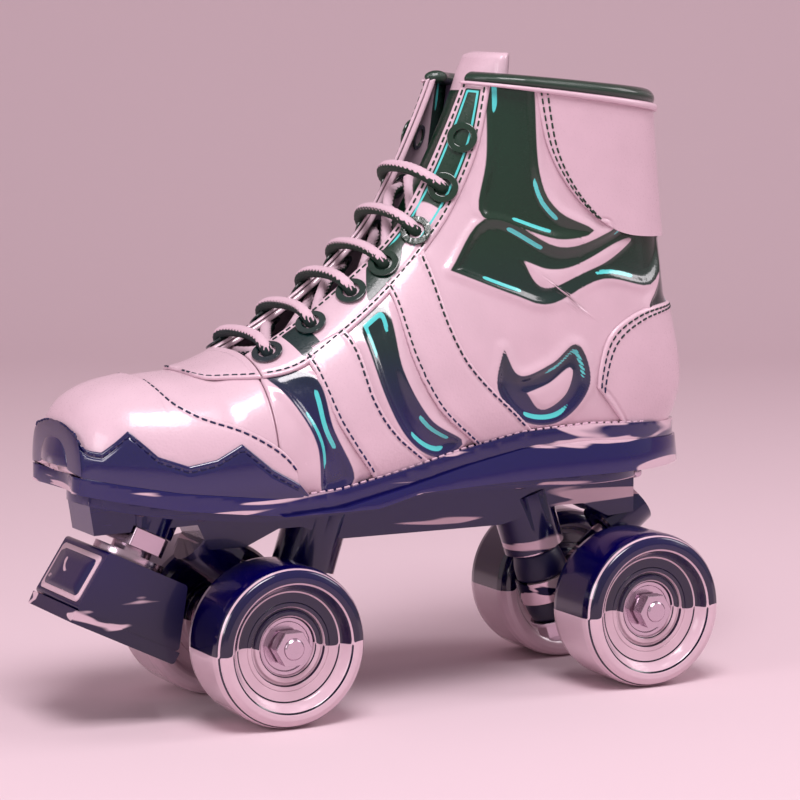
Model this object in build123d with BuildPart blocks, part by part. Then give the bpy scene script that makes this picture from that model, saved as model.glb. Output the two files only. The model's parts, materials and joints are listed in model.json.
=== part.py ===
"""Quad roller skate for the left foot: laced high-top boot, two-truck plate, four wheels, toe stop.

Frame: +X to the toe, +Y to the outer side of the foot, +Z up, floor at Z 0, origin under the
middle of the skate's length and width. Millimetres.

The upper is a closed foot form, cut by a fan of planes from the toe up to the shin. A piece of
leather is a strip between two offsets of that form, lofted from one section to the next.
"""

from build123d import *
from math import acos, asin, ceil, copysign, cos, floor, pi, radians, sin, tan
import os

os.makedirs("parts", exist_ok=True)

# ---------------------------------------------------------------- driving dimensions
WHEEL_RADIUS = 31.0
WHEEL_WIDTH = 31.0
TRACK = 68.0
FRONT_AXLE_X = 60.0
REAR_AXLE_X = -99.0
AXLE_RADIUS = 4.0
BEARING_RADIUS = 11.0
BEARING_WIDTH = 7.0
RUNNING = 0.05

LEATHER = 2.2
OVERLAY = 1.4
LINING_DEPTH = 6.0
TONGUE_TOP = -9.9
TONGUE_THICKNESS = 4.5
TONGUE_HALF_WIDTH = 26.0
TONGUE_END = 16.6
INSOLE = 3.5
SOLE = 6.5
WELT = 3.0
EDGE_GAP = 0.4

LACE_RADIUS = 2.35
EYELET_HOLE = 3.4
EYELET_FLANGE = 6.0
EYELET_SIDE = 21.0
THROAT_HALF_GAP = 14.0

KINGPIN_RADIUS = 4.75
KINGPIN_LEAN = 18.0
RING_OFFSET = 22.0
RING_Z = 36.0
RING_RADIUS = 11.5
RING_THICKNESS = 9.0
PIVOT_OFFSET = 9.0
PIVOT_Z = 60.0
PIVOT_BALL = 5.0

STOP_X = 106.5
STOP_Z = 60.8
STOP_TILT = 26.0
STOP_HALF_WIDTH = 21.5
STEM_RADIUS = 7.9

WIDE = 75.0

# ---------------------------------------------------------------- boot form
# One row for each cross-section of the closed foot form, from the toe up to the shin:
# front or top point (x, z), back or bottom point (x, z), half width, where along the section
# it is widest, sideways shift of its middle, and how far its surface faces forward there.
STATIONS = [
    (133.4, 98.5, 133.4, 94.5, 3.0, 0.50, -5.0, 1.00),
    (132.7, 107.0, 132.7, 86.0, 13.0, 0.50, -5.0, 0.98),
    (130.4, 115.5, 130.4, 80.0, 20.5, 0.53, -5.0, 0.89),
    (125.0, 122.6, 125.0, 76.0, 28.0, 0.55, -4.6, 0.67),
    (115.0, 127.4, 115.0, 74.0, 34.5, 0.57, -4.0, 0.41),
    (98.0, 130.4, 98.0, 72.0, 40.0, 0.60, -3.0, 0.20),
    (77.0, 132.8, 76.0, 73.5, 42.5, 0.62, -1.5, 0.00),
    (58.5, 141.0, 52.0, 72.5, 42.5, 0.64, 0.0, 0.00),
    (42.0, 150.5, 26.0, 75.0, 41.0, 0.64, 1.0, 0.00),
    (27.0, 161.0, -4.0, 80.0, 39.5, 0.62, 1.5, 0.00),
    (12.5, 173.0, -38.0, 87.0, 37.5, 0.58, 1.0, 0.00),
    (0.5, 186.0, -76.0, 88.0, 36.0, 0.55, 0.5, 0.00),
    (-7.0, 199.0, -114.0, 88.0, 35.5, 0.52, 0.0, 0.00),
    (-12.5, 209.0, -132.5, 114.0, 34.5, 0.50, 0.0, 0.00),
    (-18.0, 219.0, -126.5, 153.0, 34.0, 0.50, 0.0, 0.00),
    (-23.5, 229.5, -121.5, 191.0, 34.0, 0.50, 0.0, 0.00),
    (-29.0, 241.0, -117.0, 231.0, 35.0, 0.50, 0.0, 0.00),
    (-35.0, 259.0, -114.0, 250.0, 36.0, 0.50, 0.0, 0.00),
]
TOE = 0.0
THROAT_END = 6.7
COLLAR = 16.0
FULLNESS = 0.82
MOST_GROWTH = 8.0

SOLE_LINE = [(150, 98.6), (133, 96.5), (100, 91.0), (62, 87.0), (36, 88.6), (11, 93.6), (-20, 100.0),
             (-46, 104.4), (-78, 105.6), (-108, 104.0), (-150, 101.0)]
CAP_SEAM = [(106, 150), (102, 128), (92, 119.5), (74, 113), (59, 103), (52, 90), (50, 70)]
BUMPER_SEAM = [(150, 104), (126, 105.5), (117.2, 113), (108, 104.5), (97.5, 101), (87, 103),
               (77.3, 108), (66, 99), (55, 93), (46, 84)]
EYESTAY_SEAM = [(94, 150), (86, 132.0), (72, 130.0), (50.7, 133.0), (29.8, 145.0), (8.5, 160.5),
                (-8.7, 176.5), (-21.7, 193.5), (-31.3, 214.4), (-37, 238), (-41, 262)]
STRIPE_SPANS = [(8.0, 8.65), (9.5, 10.3)]
PATCH_SEAM = [(-49, 262), (-54, 228), (-59.5, 210), (-71, 194), (-87, 182.5), (-106, 179), (-140, 179)]
PATCH_START = 14.0
PATCH_REACH = 0.35 * pi
AHEAD_OF_PATCH = 20.0
BELOW_PATCH = 120.0
ABOVE_TOE = 150.0
BUMPER_START = 1.0
COUNTER_SEAM = [(-140, 152), (-110, 151), (-95.5, 147.5), (-85, 140), (-80.5, 127), (-80.5, 114),
                (-84, 104), (-90, 90)]
CURVE_STEPS = 10
LEAST_STRIP = 0.04
LAYER_GAP = 0.12
SEAM_GAP = 0.02
LINING_EDGE = 28.5
LINING_SPLIT = 5.9
EYELET_BARREL = 4.2
EYELET_PLACES = [7.05, 8.15, 9.25, 10.15, 11.2, 12.65, 14.3]


def between(position):
    """The form's section at a position along it, smooth from one station to the next."""
    last = len(STATIONS) - 1
    start = min(max(int(floor(position)), 0), last - 1)
    part = position - start
    rows = [STATIONS[min(max(start + step, 0), last)] for step in (-1, 0, 1, 2)]
    values = []
    for before, here, there, after in zip(*rows):
        lead = 0.5 * (there - before)
        trail = 0.5 * (after - here)
        rest = 3.0 * (there - here) - 2.0 * lead - trail
        turn = 2.0 * (here - there) + lead + trail
        values.append(here + part * (lead + part * (rest + part * turn)))
    return values


def section(position, grow):
    """A section of the form moved outwards by grow: front, back, half width, widest place, shift."""
    front_x, front_z, back_x, back_z, half, widest, shift, facing = between(position)
    facing = min(max(facing, 0.0), 0.995)
    radial = grow / (1.0 - facing * facing) ** 0.5
    radial = min(max(radial, -0.8 * half), MOST_GROWTH + grow)
    length = ((back_x - front_x) ** 2 + (back_z - front_z) ** 2) ** 0.5
    ends = max(radial, -0.4 * length)
    step_x = ends * (back_x - front_x) / length
    step_z = ends * (back_z - front_z) / length
    front = Vector(front_x - step_x, 0, front_z - step_z)
    back = Vector(back_x + step_x, 0, back_z + step_z)
    return front, back, half + radial, widest, shift


def form_point(position, turn, grow):
    """A point of the form: turn is 0 at the front, pi at the back, and negative on the right side."""
    front, back, half, widest, shift = section(position, grow)
    reach = abs(cos(turn)) ** FULLNESS
    along = widest * (1.0 - reach) if cos(turn) > 0 else widest + (1.0 - widest) * reach
    spread = abs(sin(turn)) ** FULLNESS * half
    point = front + (back - front) * along
    return Vector(point.X, shift + (spread if sin(turn) >= 0 else -spread), point.Z)


def outward(position, turn):
    """The form's outward direction at a point."""
    along = form_point(position + 0.05, turn, 0) - form_point(position - 0.05, turn, 0)
    around = form_point(position, turn + 0.05, 0) - form_point(position, turn - 0.05, 0)
    normal = along.cross(around).normalized()
    middle = (form_point(position, 0, 0) + form_point(position, pi, 0)) * 0.5
    facing = (form_point(position, turn, 0) - middle).dot(normal)
    return normal if facing > 0 else -normal


def turn_at(position, share):
    """The turn at which a section has covered a share of the way from its front to its back."""
    widest = between(position)[5]
    if share <= 0.0:
        return 0.0
    if share >= 1.0:
        return pi
    if share < widest:
        return acos((1.0 - share / widest) ** (1.0 / FULLNESS))
    return pi - acos(((share - widest) / (1.0 - widest)) ** (1.0 / FULLNESS))


def turn_at_side(position, distance):
    """The turn, on the front half of a section, at a signed distance from the middle plane."""
    half, shift = section(position, 0.0)[2], section(position, 0.0)[4]
    share = min(abs(distance - shift) / half, 0.97)
    return asin(share ** (1.0 / FULLNESS)) * (1 if distance >= 0 else -1)


def crossings(position, seam):
    """The turns, in order, at which a section crosses a seam given in side view."""
    front, back = section(position, 0.0)[:2]
    run_x, run_z = back.X - front.X, back.Z - front.Z
    found = []
    for (start_x, start_z), (end_x, end_z) in zip(seam, seam[1:]):
        edge_x, edge_z = end_x - start_x, end_z - start_z
        cross = run_x * edge_z - run_z * edge_x
        if abs(cross) < 1e-9:
            continue
        gap_x, gap_z = start_x - front.X, start_z - front.Z
        share = (gap_x * edge_z - gap_z * edge_x) / cross
        place = (gap_x * run_z - gap_z * run_x) / cross
        if 0.0 <= place <= 1.0 and 0.0 < share < 1.0:
            found.append(turn_at(position, share))
    return sorted(found)


def sole_turn(position):
    """The turn at which a section meets the sole, or pi where it passes behind the heel."""
    raised_line = [(x, z + EDGE_GAP) for x, z in SOLE_LINE]
    found = crossings(position, raised_line)
    return found[-1] if found else pi


def steps(start, end, pitch=0.5):
    """Positions from start to end, evenly spaced and at most pitch apart."""
    count = max(int(ceil((end - start) / pitch)), 1)
    return [start + (end - start) * i / count for i in range(count + 1)]


def section_plane(position):
    """The plane of a section, with its X axis from the front point to the back point."""
    front, back = section(position, 0.0)[:2]
    run = (back - front).normalized()
    return Plane(origin=front, x_dir=run, z_dir=(-run.Z, 0, run.X))


def section_curve(position, start, end, grow):
    """Points of one offset of the form in a section's own plane."""
    plane = section_plane(position)
    points = []
    for step in range(CURVE_STEPS + 1):
        turn = start + (end - start) * step / CURVE_STEPS
        local = plane.to_local_coords(form_point(position, turn, grow))
        points.append((local.X, local.Y))
    return points


def leather(places, start_turn, end_turn, outer, inner):
    """A strip of leather between two offsets of the form, lofted through sections of it."""
    middle = places[len(places) // 2]
    least = copysign(LEAST_STRIP, end_turn(middle) - start_turn(middle))
    with BuildPart() as strip:
        for position in places:
            start = start_turn(position)
            end = end_turn(position)
            if abs(end - start) < LEAST_STRIP:
                end = start + least
            with BuildSketch(section_plane(position)):
                with BuildLine():
                    skin = Spline(*section_curve(position, start, end, outer))
                    flesh = Spline(*section_curve(position, start, end, inner))
                    Line(skin @ 0, flesh @ 0)
                    Line(skin @ 1, flesh @ 1)
                make_face()
        loft()
    return strip.part


def save(piece, label):
    """Name a finished sub-part and write its file."""
    piece.label = label
    export_step(piece, f"parts/{label}.step")
    return piece


# ---------------------------------------------------------------- the upper
def first_crossing(seam):
    """A function of position: the turn where a section first crosses a seam, else 0."""
    return lambda position: (crossings(position, seam) or [0.0])[0]


def mirrored(turn_rule):
    """The same turn rule on the right side."""
    return lambda position: -turn_rule(position)


def throat_edge(side):
    """A function of position: the turn at the throat's edge on one side."""
    return lambda position: turn_at_side(position, side * THROAT_HALF_GAP)


def tongue_edge(side):
    """A function of position: the turn at the tongue's edge on one side."""
    return lambda position: turn_at_side(position, side * TONGUE_HALF_WIDTH)


def sided(side, turn_rule):
    """A turn rule on the left (1) or the right (-1) side."""
    return turn_rule if side > 0 else mirrored(turn_rule)


def side_slab(outline):
    """A slab across the skate with a straight-sided side view."""
    with BuildPart() as slab:
        with BuildSketch(Plane.XZ):
            with BuildLine():
                Polyline(*outline, close=True)
            make_face()
        extrude(amount=WIDE, both=True)
    return slab.part


def trimmed(piece, outline):
    """A piece with everything inside a side-view outline cut away."""
    with BuildPart() as rest:
        add(piece)
        add(side_slab(outline), mode=Mode.SUBTRACT)
    return rest.part


def seam_start(seam, start, end):
    """The first position, between start and end, whose section crosses the seam."""
    places = steps(start, end, 0.02)
    return next(place for place in places if crossings(place, seam))


def under_seam(seam, start, end, outer, inner):
    """A layer round the toe and down both sides, below a seam, from one section back to another."""
    whole = leather(steps(start, end), mirrored(sole_turn), sole_turn, outer, inner)
    above = seam + [(seam[-1][0], ABOVE_TOE), (seam[0][0], ABOVE_TOE)]
    return trimmed(whole, above)


def eyestay(side):
    """One side of the reinforced strip along the throat."""
    seam = sided(side, first_crossing(EYESTAY_SEAM))
    return leather(steps(THROAT_END + 0.02, COLLAR), throat_edge(side), seam, OVERLAY, LAYER_GAP)


def throat_tab():
    """The reinforced tongue of leather across the front end of the throat."""
    seam = first_crossing(EYESTAY_SEAM)
    start = seam_start(EYESTAY_SEAM, 4.5, THROAT_END)
    return leather(steps(start, THROAT_END), mirrored(seam), seam, OVERLAY, LAYER_GAP)


def stripes(side):
    """The two stitched stripes on one side."""
    pieces = []
    for start, end in STRIPE_SPANS:
        top = sided(side, lambda place: first_crossing(EYESTAY_SEAM)(place) + SEAM_GAP)
        pieces.append(leather(steps(start, end, 0.25), top, sided(side, sole_turn), OVERLAY, LAYER_GAP))
    return pieces


def collar_patch():
    """The patch round the back of the collar, down to its curved lower seam."""
    whole = leather(steps(PATCH_START, COLLAR, 0.25), lambda place: PATCH_REACH,
                    lambda place: 2 * pi - PATCH_REACH, OVERLAY, LAYER_GAP)
    below = [(PATCH_SEAM[-1][0], BELOW_PATCH), (AHEAD_OF_PATCH, BELOW_PATCH), (AHEAD_OF_PATCH, PATCH_SEAM[0][1])]
    return trimmed(whole, PATCH_SEAM + below)


def heel_counter():
    """The layer round the heel, as a left and a right half met at the back seam."""
    places = steps(seam_start(COUNTER_SEAM, 12.0, 13.0) + 0.1, 13.9, 0.25)
    rule = first_crossing(COUNTER_SEAM)
    left = leather(places, rule, sole_turn, OVERLAY, LAYER_GAP)
    right = leather(places, mirrored(rule), mirrored(sole_turn), OVERLAY, LAYER_GAP)
    with BuildPart() as both:
        add(left)
        add(right)
    return both.part


EYELET_FRAMES = {}
for side in (1, -1):
    for level, place in enumerate(EYELET_PLACES):
        turn = turn_at_side(place, side * EYELET_SIDE)
        seat = form_point(place, turn, OVERLAY)
        across = form_point(place + 0.1, turn, 0) - form_point(place, turn, 0)
        EYELET_FRAMES[side, level] = Plane(origin=seat, x_dir=across, z_dir=outward(place, turn))


def drilled(piece, side, radius):
    """A piece with the eyelet holes of one side cut through it."""
    with BuildPart() as result:
        add(piece)
        for level in range(len(EYELET_PLACES)):
            with Locations(EYELET_FRAMES[side, level]):
                Cylinder(radius, 24, mode=Mode.SUBTRACT)
    return result.part


def eyelets(side):
    """The seven metal eyelets of one side, as separate solids."""
    rings = []
    for level in range(len(EYELET_PLACES)):
        with BuildPart() as ring:
            with BuildSketch(Plane.XZ):
                with Locations((0, -1.4)):
                    Rectangle(EYELET_BARREL, 5.0, align=(Align.MIN, Align.CENTER))
                with Locations((0, 0.75)):
                    Rectangle(EYELET_FLANGE, 0.9, align=(Align.MIN, Align.CENTER))
                with Locations((0, -4.2)):
                    Rectangle(EYELET_FLANGE - 0.8, 0.6, align=(Align.MIN, Align.CENTER))
                Rectangle(2 * EYELET_HOLE, 30, mode=Mode.SUBTRACT)
            revolve(axis=Axis.Z)
        rings.append(EYELET_FRAMES[side, level].from_local_coords(ring.part))
    return rings


def group(pieces):
    """Separate identical solids kept together as one sub-part."""
    return Compound(children=[solid for piece in pieces for solid in piece.solids()])


vamp = leather(steps(TOE, THROAT_END), mirrored(sole_turn), sole_turn, 0.0, -LEATHER)
save(vamp, "vamp")
for side, name in ((1, "left"), (-1, "right")):
    sole_edge = sided(side, sole_turn)
    quarter = leather(steps(THROAT_END, COLLAR), throat_edge(side), sole_edge, 0.0, -LEATHER)
    save(drilled(quarter, side, EYELET_BARREL), f"quarter_{name}")
    save(drilled(eyestay(side), side, EYELET_BARREL), f"eyestay_{name}")
    save(group(eyelets(side)), f"eyelets_{name}")
    lining_start = sided(side, lambda place: abs(turn_at_side(place, LINING_EDGE)))
    lining = leather(steps(LINING_SPLIT, COLLAR), lining_start, sole_edge, -LEATHER - 0.1, -LINING_DEPTH)
    save(lining, f"lining_{name}")
vamp_lining = leather(steps(1.5, LINING_SPLIT - 0.05), mirrored(sole_turn), sole_turn, -LEATHER - 0.1,
                      -LINING_DEPTH)
save(vamp_lining, "lining_vamp")
save(throat_tab(), "throat_tab")
save(group(stripes(1) + stripes(-1)), "stripes")
save(under_seam(CAP_SEAM, TOE, 7.0, OVERLAY, LAYER_GAP), "toe_cap")
bumper = under_seam(BUMPER_SEAM, BUMPER_START, 7.2, 2 * OVERLAY, OVERLAY + LAYER_GAP)
save(group([bumper]), "toe_bumper")
save(collar_patch(), "collar_patch")
save(heel_counter(), "heel_counter")
binding = leather([COLLAR + 0.02, COLLAR + 0.08, COLLAR + 0.14], throat_edge(1),
                  lambda place: 2 * pi + throat_edge(-1)(place), OVERLAY + 0.3, -LINING_DEPTH - 0.3)
save(binding, "collar_binding")
tongue = leather(steps(LINING_SPLIT, TONGUE_END), tongue_edge(-1), tongue_edge(1), TONGUE_TOP,
                 TONGUE_TOP - TONGUE_THICKNESS)
save(tongue, "tongue")


# ---------------------------------------------------------------- lace
BAR_LIFT = 4.85
UNDER_EYELET = -5.2
UPPER_CROSS = -2.4
LOWER_CROSS = -7.3
CROSS_SIDE = 11.0
LARGEST_BEND = 14.0


def lace_point(place, distance, grow):
    """A point of the lace: its position along the form, distance from the middle, and height."""
    return form_point(place, turn_at_side(place, distance), grow)


def hole_point(side, level, height):
    """A point on the axis of one eyelet, at a height over its leather."""
    return EYELET_FRAMES[side, level].origin + EYELET_FRAMES[side, level].z_dir * height


def bar(side, level):
    """The lace up through one eyelet, over the throat and down through the eyelet opposite."""
    place = EYELET_PLACES[level]
    over = [lace_point(place, side * CROSS_SIDE * share, BAR_LIFT) for share in (1.0, -1.0)]
    near = [hole_point(side, level, UNDER_EYELET), hole_point(side, level, BAR_LIFT - OVERLAY)]
    far = [hole_point(-side, level, BAR_LIFT - OVERLAY), hole_point(-side, level, UNDER_EYELET)]
    return near + over + far


def diagonal(side, level, end_level, grow):
    """The lace under the throat's edges, from one eyelet's side across to a higher level."""
    start, end = EYELET_PLACES[level], EYELET_PLACES[end_level]
    points = []
    for share in (-1.0, 1.0):
        part = 0.5 + 0.5 * share * CROSS_SIDE / EYELET_SIDE
        points.append(lace_point(start + (end - start) * part, -share * side * CROSS_SIDE, grow))
    return points


def lace_route():
    """The whole lace: tucked in on the left, level bars outside, crossing below, tucked in again."""
    left_end = [lace_point(EYELET_PLACES[5] + 0.2, -CROSS_SIDE, LOWER_CROSS)]
    left_end += [lace_point(EYELET_PLACES[4] + 0.45, CROSS_SIDE, LOWER_CROSS)]
    route = left_end + bar(1, 4) + diagonal(-1, 4, 2, LOWER_CROSS) + bar(1, 2)
    route += diagonal(-1, 2, 0, LOWER_CROSS) + bar(-1, 0) + diagonal(1, 0, 1, UPPER_CROSS)
    route += bar(-1, 1) + diagonal(1, 1, 3, UPPER_CROSS) + bar(-1, 3) + diagonal(1, 3, 5, UPPER_CROSS)
    route += bar(-1, 5) + [lace_point(EYELET_PLACES[5] + 0.5, CROSS_SIDE, LOWER_CROSS)]
    return route


def tangent_radius(points, index):
    """The arc radius at a corner of the lace: as large as its two runs allow, up to the lace's own."""
    before = points[index] - points[index - 1]
    after = points[index + 1] - points[index]
    half_turn = radians(before.get_angle(after)) / 2
    return min(0.45 * min(before.length, after.length) / tan(half_turn), LARGEST_BEND)


def sole_height(x, line):
    """The height of a side-view line at a place along the skate."""
    for (start_x, start_z), (end_x, end_z) in zip(line, line[1:]):
        if min(start_x, end_x) <= x <= max(start_x, end_x):
            return start_z + (end_z - start_z) * (x - start_x) / (end_x - start_x)
    return line[-1][1]


def lace():
    """The lace as one round cord along its whole route."""
    points = lace_route()
    radii = [tangent_radius(points, index) for index in range(1, len(points) - 1)]
    print("lace radii", [round(radius, 1) for radius in radii])
    with BuildPart() as cord:
        with BuildLine() as route:
            FilletPolyline(*points, radius=radii)
        with BuildSketch(Plane(origin=route.line @ 0, z_dir=route.line % 0)):
            Circle(LACE_RADIUS)
        sweep(path=route.line)
    length = sum(edge.length for edge in route.line.edges())
    share = cord.part.volume / (pi * LACE_RADIUS**2 * length)
    print("lace length", round(length), "volume over expected", round(share, 4))
    return cord.part


save(lace(), "lace")


# ---------------------------------------------------------------- sole
PLATE_TOP = [(150, 92.1), (133, 90.0), (100, 84.5), (62, 80.5), (22, 80.5), (2, 84.9), (-34, 85.5),
             (-150, 85.5)]
SOLE_BOTTOM = [(x, z - SOLE) for x, z in SOLE_LINE]
HEEL_PLACE = 12.6
SCREWS = [(106, 15), (84, 20), (12, 20), (-52, 21), (-108, 16)]
SCREW_RADIUS = 2.0


def footprint(grow):
    """Plan-view points round the form where it meets the sole, moved outwards by grow."""
    left, right = [], []
    for place in [0.35, 1.0] + steps(2.0, HEEL_PLACE - 0.4, 0.7):
        left.append(form_point(place, sole_turn(place), grow))
        right.append(form_point(place, -sole_turn(place), grow))
    heel = Vector(HEEL_BACK - grow, 0, 0)
    return [(p.X, p.Y) for p in left + [heel] + right[::-1]]


def sole_layer(plan, outline):
    """A layer of the sole: a plan outline kept within a side view."""
    with BuildPart() as layer:
        with BuildSketch(Plane.XY.offset(70)):
            with BuildLine():
                Spline(*plan, periodic=True)
            make_face()
        extrude(amount=50)
        add(side_slab(outline), mode=Mode.INTERSECT)
    return layer.part


def screw_holes(piece, radius, depth):
    """A piece with the sole screws' holes cut up through it to a height over the plate."""
    with BuildPart() as result:
        add(piece)
        for x, y in SCREWS:
            for side in (1, -1):
                top = sole_height(x, PLATE_TOP) + depth
                with Locations((x, side * y, top)):
                    Cylinder(radius, 40, align=(Align.CENTER, Align.CENTER, Align.MAX), mode=Mode.SUBTRACT)
    return result.part


def sole_screw(x, y):
    """A dome-headed screw up through the plate into the sole."""
    seat = sole_height(x, PLATE_TOP) - FLANGE + 1.6
    with BuildPart() as screw:
        with Locations((x, y, seat)):
            Cylinder(SCREW_RADIUS, SCREW_REACH + FLANGE - 1.6, align=(Align.CENTER, Align.CENTER, Align.MIN))
            Cylinder(4.0, 2.6, align=(Align.CENTER, Align.CENTER, Align.MAX))
        fillet(screw.faces().sort_by(Axis.Z)[0].edges(), 1.8)
    return screw.part


HEEL_BACK = -131.0
FLANGE = 4.5
SCREW_REACH = 5.8
outsole = sole_layer(footprint(WELT), SOLE_LINE + SOLE_BOTTOM[::-1])
save(screw_holes(outsole, SCREW_RADIUS, SCREW_REACH), "outsole")

wedge_side = [p for p in SOLE_BOTTOM if p[0] <= 62] + [p for p in PLATE_TOP if p[0] < 62][::-1]
with BuildPart() as wedge:
    for height, grow in ((106, WELT), (70, WELT + 4.0)):
        with BuildSketch(Plane.XY.offset(height)):
            with BuildLine():
                Spline(*footprint(grow), periodic=True)
            make_face()
    loft()
    add(side_slab(wedge_side), mode=Mode.INTERSECT)
save(screw_holes(wedge.part, SCREW_RADIUS, SCREW_REACH), "heel_wedge")
save(group([sole_screw(x, side * y) for x, y in SCREWS for side in (1, -1)]), "sole_screws")

insole_side = [(x, z + EDGE_GAP) for x, z in SOLE_LINE] + [(x, z + INSOLE) for x, z in SOLE_LINE[::-1]]
save(sole_layer(footprint(-LINING_DEPTH - 1.0), insole_side), "insole")


# ---------------------------------------------------------------- plate
BEAM_HALF_WIDTH = 11.0
BEAM_BOTTOM = 64.0
BLOCK_BOTTOM = 73.0
KING_BOSS_RADIUS = 12.5
KING_BOSS_START = 17.5
PIVOT_BOSS_RADIUS = 10.5
CUP_RADIUS = 7.5
CUP_MOUTH = 5.0
STOP_BOSS_RADIUS = 12.5
STOP_BOSS_START = 13.0
STEM_REACH = 18.5
NUT_CLEARANCE = 13.6


def ring_point(axle_x, facing):
    """The middle of a truck's kingpin ring. Facing is 1 in front and -1 at the rear."""
    return Vector(axle_x - facing * RING_OFFSET, 0, RING_Z)


def ball_point(axle_x, facing):
    """The middle of a truck's pivot ball."""
    return Vector(axle_x + facing * PIVOT_OFFSET, 0, PIVOT_Z)


def king_plane(axle_x, facing, reach=0.0):
    """The plane across a kingpin, reach above its ring, with its normal up the kingpin."""
    lean = radians(KINGPIN_LEAN)
    up = Vector(-facing * sin(lean), 0, cos(lean))
    return Plane(origin=ring_point(axle_x, facing) + up * reach, x_dir=(0, 1, 0), z_dir=up)


def steer_plane(axle_x, facing, reach=0.0):
    """The plane across a steering axis, reach from its ball, with its normal toward the ring."""
    ball = ball_point(axle_x, facing)
    along = (ring_point(axle_x, facing) - ball).normalized()
    return Plane(origin=ball + along * reach, x_dir=(0, 1, 0), z_dir=along)


def stop_plane(reach=0.0):
    """The plane across the toe stop's stem, reach above its block, with its normal up the stem."""
    tilt = radians(STOP_TILT)
    up = Vector(-sin(tilt), 0, cos(tilt))
    return Plane(origin=Vector(STOP_X, 0, STOP_Z) + up * reach, x_dir=(cos(tilt), 0, sin(tilt)), z_dir=up)


def rod(plane, radius, length, mode=Mode.ADD):
    """A cylinder that starts at a plane and runs along its normal, or against it if length is negative."""
    end = Align.MIN if length > 0 else Align.MAX
    with Locations(plane):
        Cylinder(radius, abs(length), align=(Align.CENTER, Align.CENTER, end), mode=mode)


TRUCKS = {"front": (FRONT_AXLE_X, 1), "rear": (REAR_AXLE_X, -1)}

with BuildPart() as plate:
    with BuildSketch(Plane.XY.offset(60)):
        with BuildLine():
            Spline((128, 0), (118, 21), (88, 29), (48, 27), (10, 24), (-50, 27), (-96, 27), (-113, 12),
                   (-113, -12), (-96, -27), (-50, -27), (10, -24), (48, -27), (88, -29), (118, -21),
                   periodic=True)
        make_face()
    extrude(amount=40)
    flange_side = [(x, z - FLANGE) for x, z in PLATE_TOP[::-1]]
    add(side_slab(PLATE_TOP + flange_side), mode=Mode.INTERSECT)
    with BuildSketch(Plane.XZ):
        with BuildLine():
            Polyline((126, 86), (124, BLOCK_BOTTOM), (82, BLOCK_BOTTOM + 1), (77, BEAM_BOTTOM), (62, BEAM_BOTTOM),
                     (48, 70), (38, 70), (24, BEAM_BOTTOM), (-50, BEAM_BOTTOM), (-76, 70), (-88, 70),
                     (-100, BEAM_BOTTOM), (-112, BEAM_BOTTOM + 1), (-112, 83), (0, 82), (22, 78), (62, 78),
                     close=True)
        make_face()
    extrude(amount=BEAM_HALF_WIDTH, both=True)
    for axle_x, facing in TRUCKS.values():
        rod(king_plane(axle_x, facing, KING_BOSS_START), KING_BOSS_RADIUS, 24.0)
        rod(steer_plane(axle_x, facing, CUP_MOUTH), PIVOT_BOSS_RADIUS, -18.0)
    rod(stop_plane(STOP_BOSS_START), STOP_BOSS_RADIUS, 13.0)
    top_side = PLATE_TOP + [(-150, 130), (150, 130)]
    add(side_slab(top_side), mode=Mode.SUBTRACT)
    for axle_x, facing in TRUCKS.values():
        rod(king_plane(axle_x, facing, KING_BOSS_START), KINGPIN_RADIUS, 21.0, Mode.SUBTRACT)
        rod(steer_plane(axle_x, facing, CUP_MOUTH), CUP_RADIUS, -CUP_MOUTH - 7.0, Mode.SUBTRACT)
    rod(stop_plane(STOP_BOSS_START), STEM_RADIUS + RUNNING, STEM_REACH + 1.5 - STOP_BOSS_START, Mode.SUBTRACT)
    rod(stop_plane(STOP_BOSS_START), NUT_CLEARANCE, -8.0, Mode.SUBTRACT)
    for x, y in SCREWS:
        seat = sole_height(x, PLATE_TOP) - FLANGE + 1.6
        for side in (1, -1):
            with Locations((x, side * y, seat)):
                Cylinder(SCREW_RADIUS, 20, align=(Align.CENTER, Align.CENTER, Align.MIN), mode=Mode.SUBTRACT)
                Cylinder(4.2, 8, align=(Align.CENTER, Align.CENTER, Align.MAX), mode=Mode.SUBTRACT)
save(plate.part, "plate")


# ---------------------------------------------------------------- toe stop
STOP_LONG = 17.5
STOP_DEPTH = 24.3
STRIP_DEPTH = 5.0

with BuildPart() as stem:
    rod(stop_plane(0.0), 14.0, 3.0)
    rod(stop_plane(3.0), STEM_RADIUS, STEM_REACH - 3.0)
    chamfer(stem.edges().filter_by(GeomType.CIRCLE).sort_by(Axis.Z)[-1], 0.8)
save(stem.part, "toe_stop_stem")

with BuildPart() as jam_nut:
    with BuildSketch(stop_plane(5.6)):
        RegularPolygon(13.0, 6)
        Circle(STEM_RADIUS + RUNNING, mode=Mode.SUBTRACT)
    extrude(amount=7.2)
save(jam_nut.part, "toe_stop_nut")

stop_side = Plane(origin=(STOP_X, 0, STOP_Z), x_dir=stop_plane().x_dir, z_dir=(0, -1, 0))
with BuildPart() as stop_block:
    with BuildSketch(stop_side):
        with BuildLine():
            Polyline((STOP_LONG, 0), (-STOP_LONG, 0), (-25.0, -STOP_DEPTH), (20.5, -STOP_DEPTH), close=True)
        make_face()
    extrude(amount=STOP_HALF_WIDTH, both=True)
    fillet(stop_block.edges().filter_by(Axis.Y), 1.6)
save(stop_block.part, "toe_stop_block")

with BuildPart() as wear_strip:
    with BuildSketch(stop_side):
        with BuildLine():
            Polyline((20.8, -STOP_DEPTH), (-25.2, -STOP_DEPTH), (-24.8, -STOP_DEPTH - STRIP_DEPTH),
                     (20.8, -STOP_DEPTH - STRIP_DEPTH), close=True)
        make_face()
    extrude(amount=STOP_HALF_WIDTH + 0.5, both=True)
    fillet(wear_strip.edges().filter_by(Axis.Y).sort_by(Axis.Z)[0], 1.5)
save(wear_strip.part, "toe_stop_pad")


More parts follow.
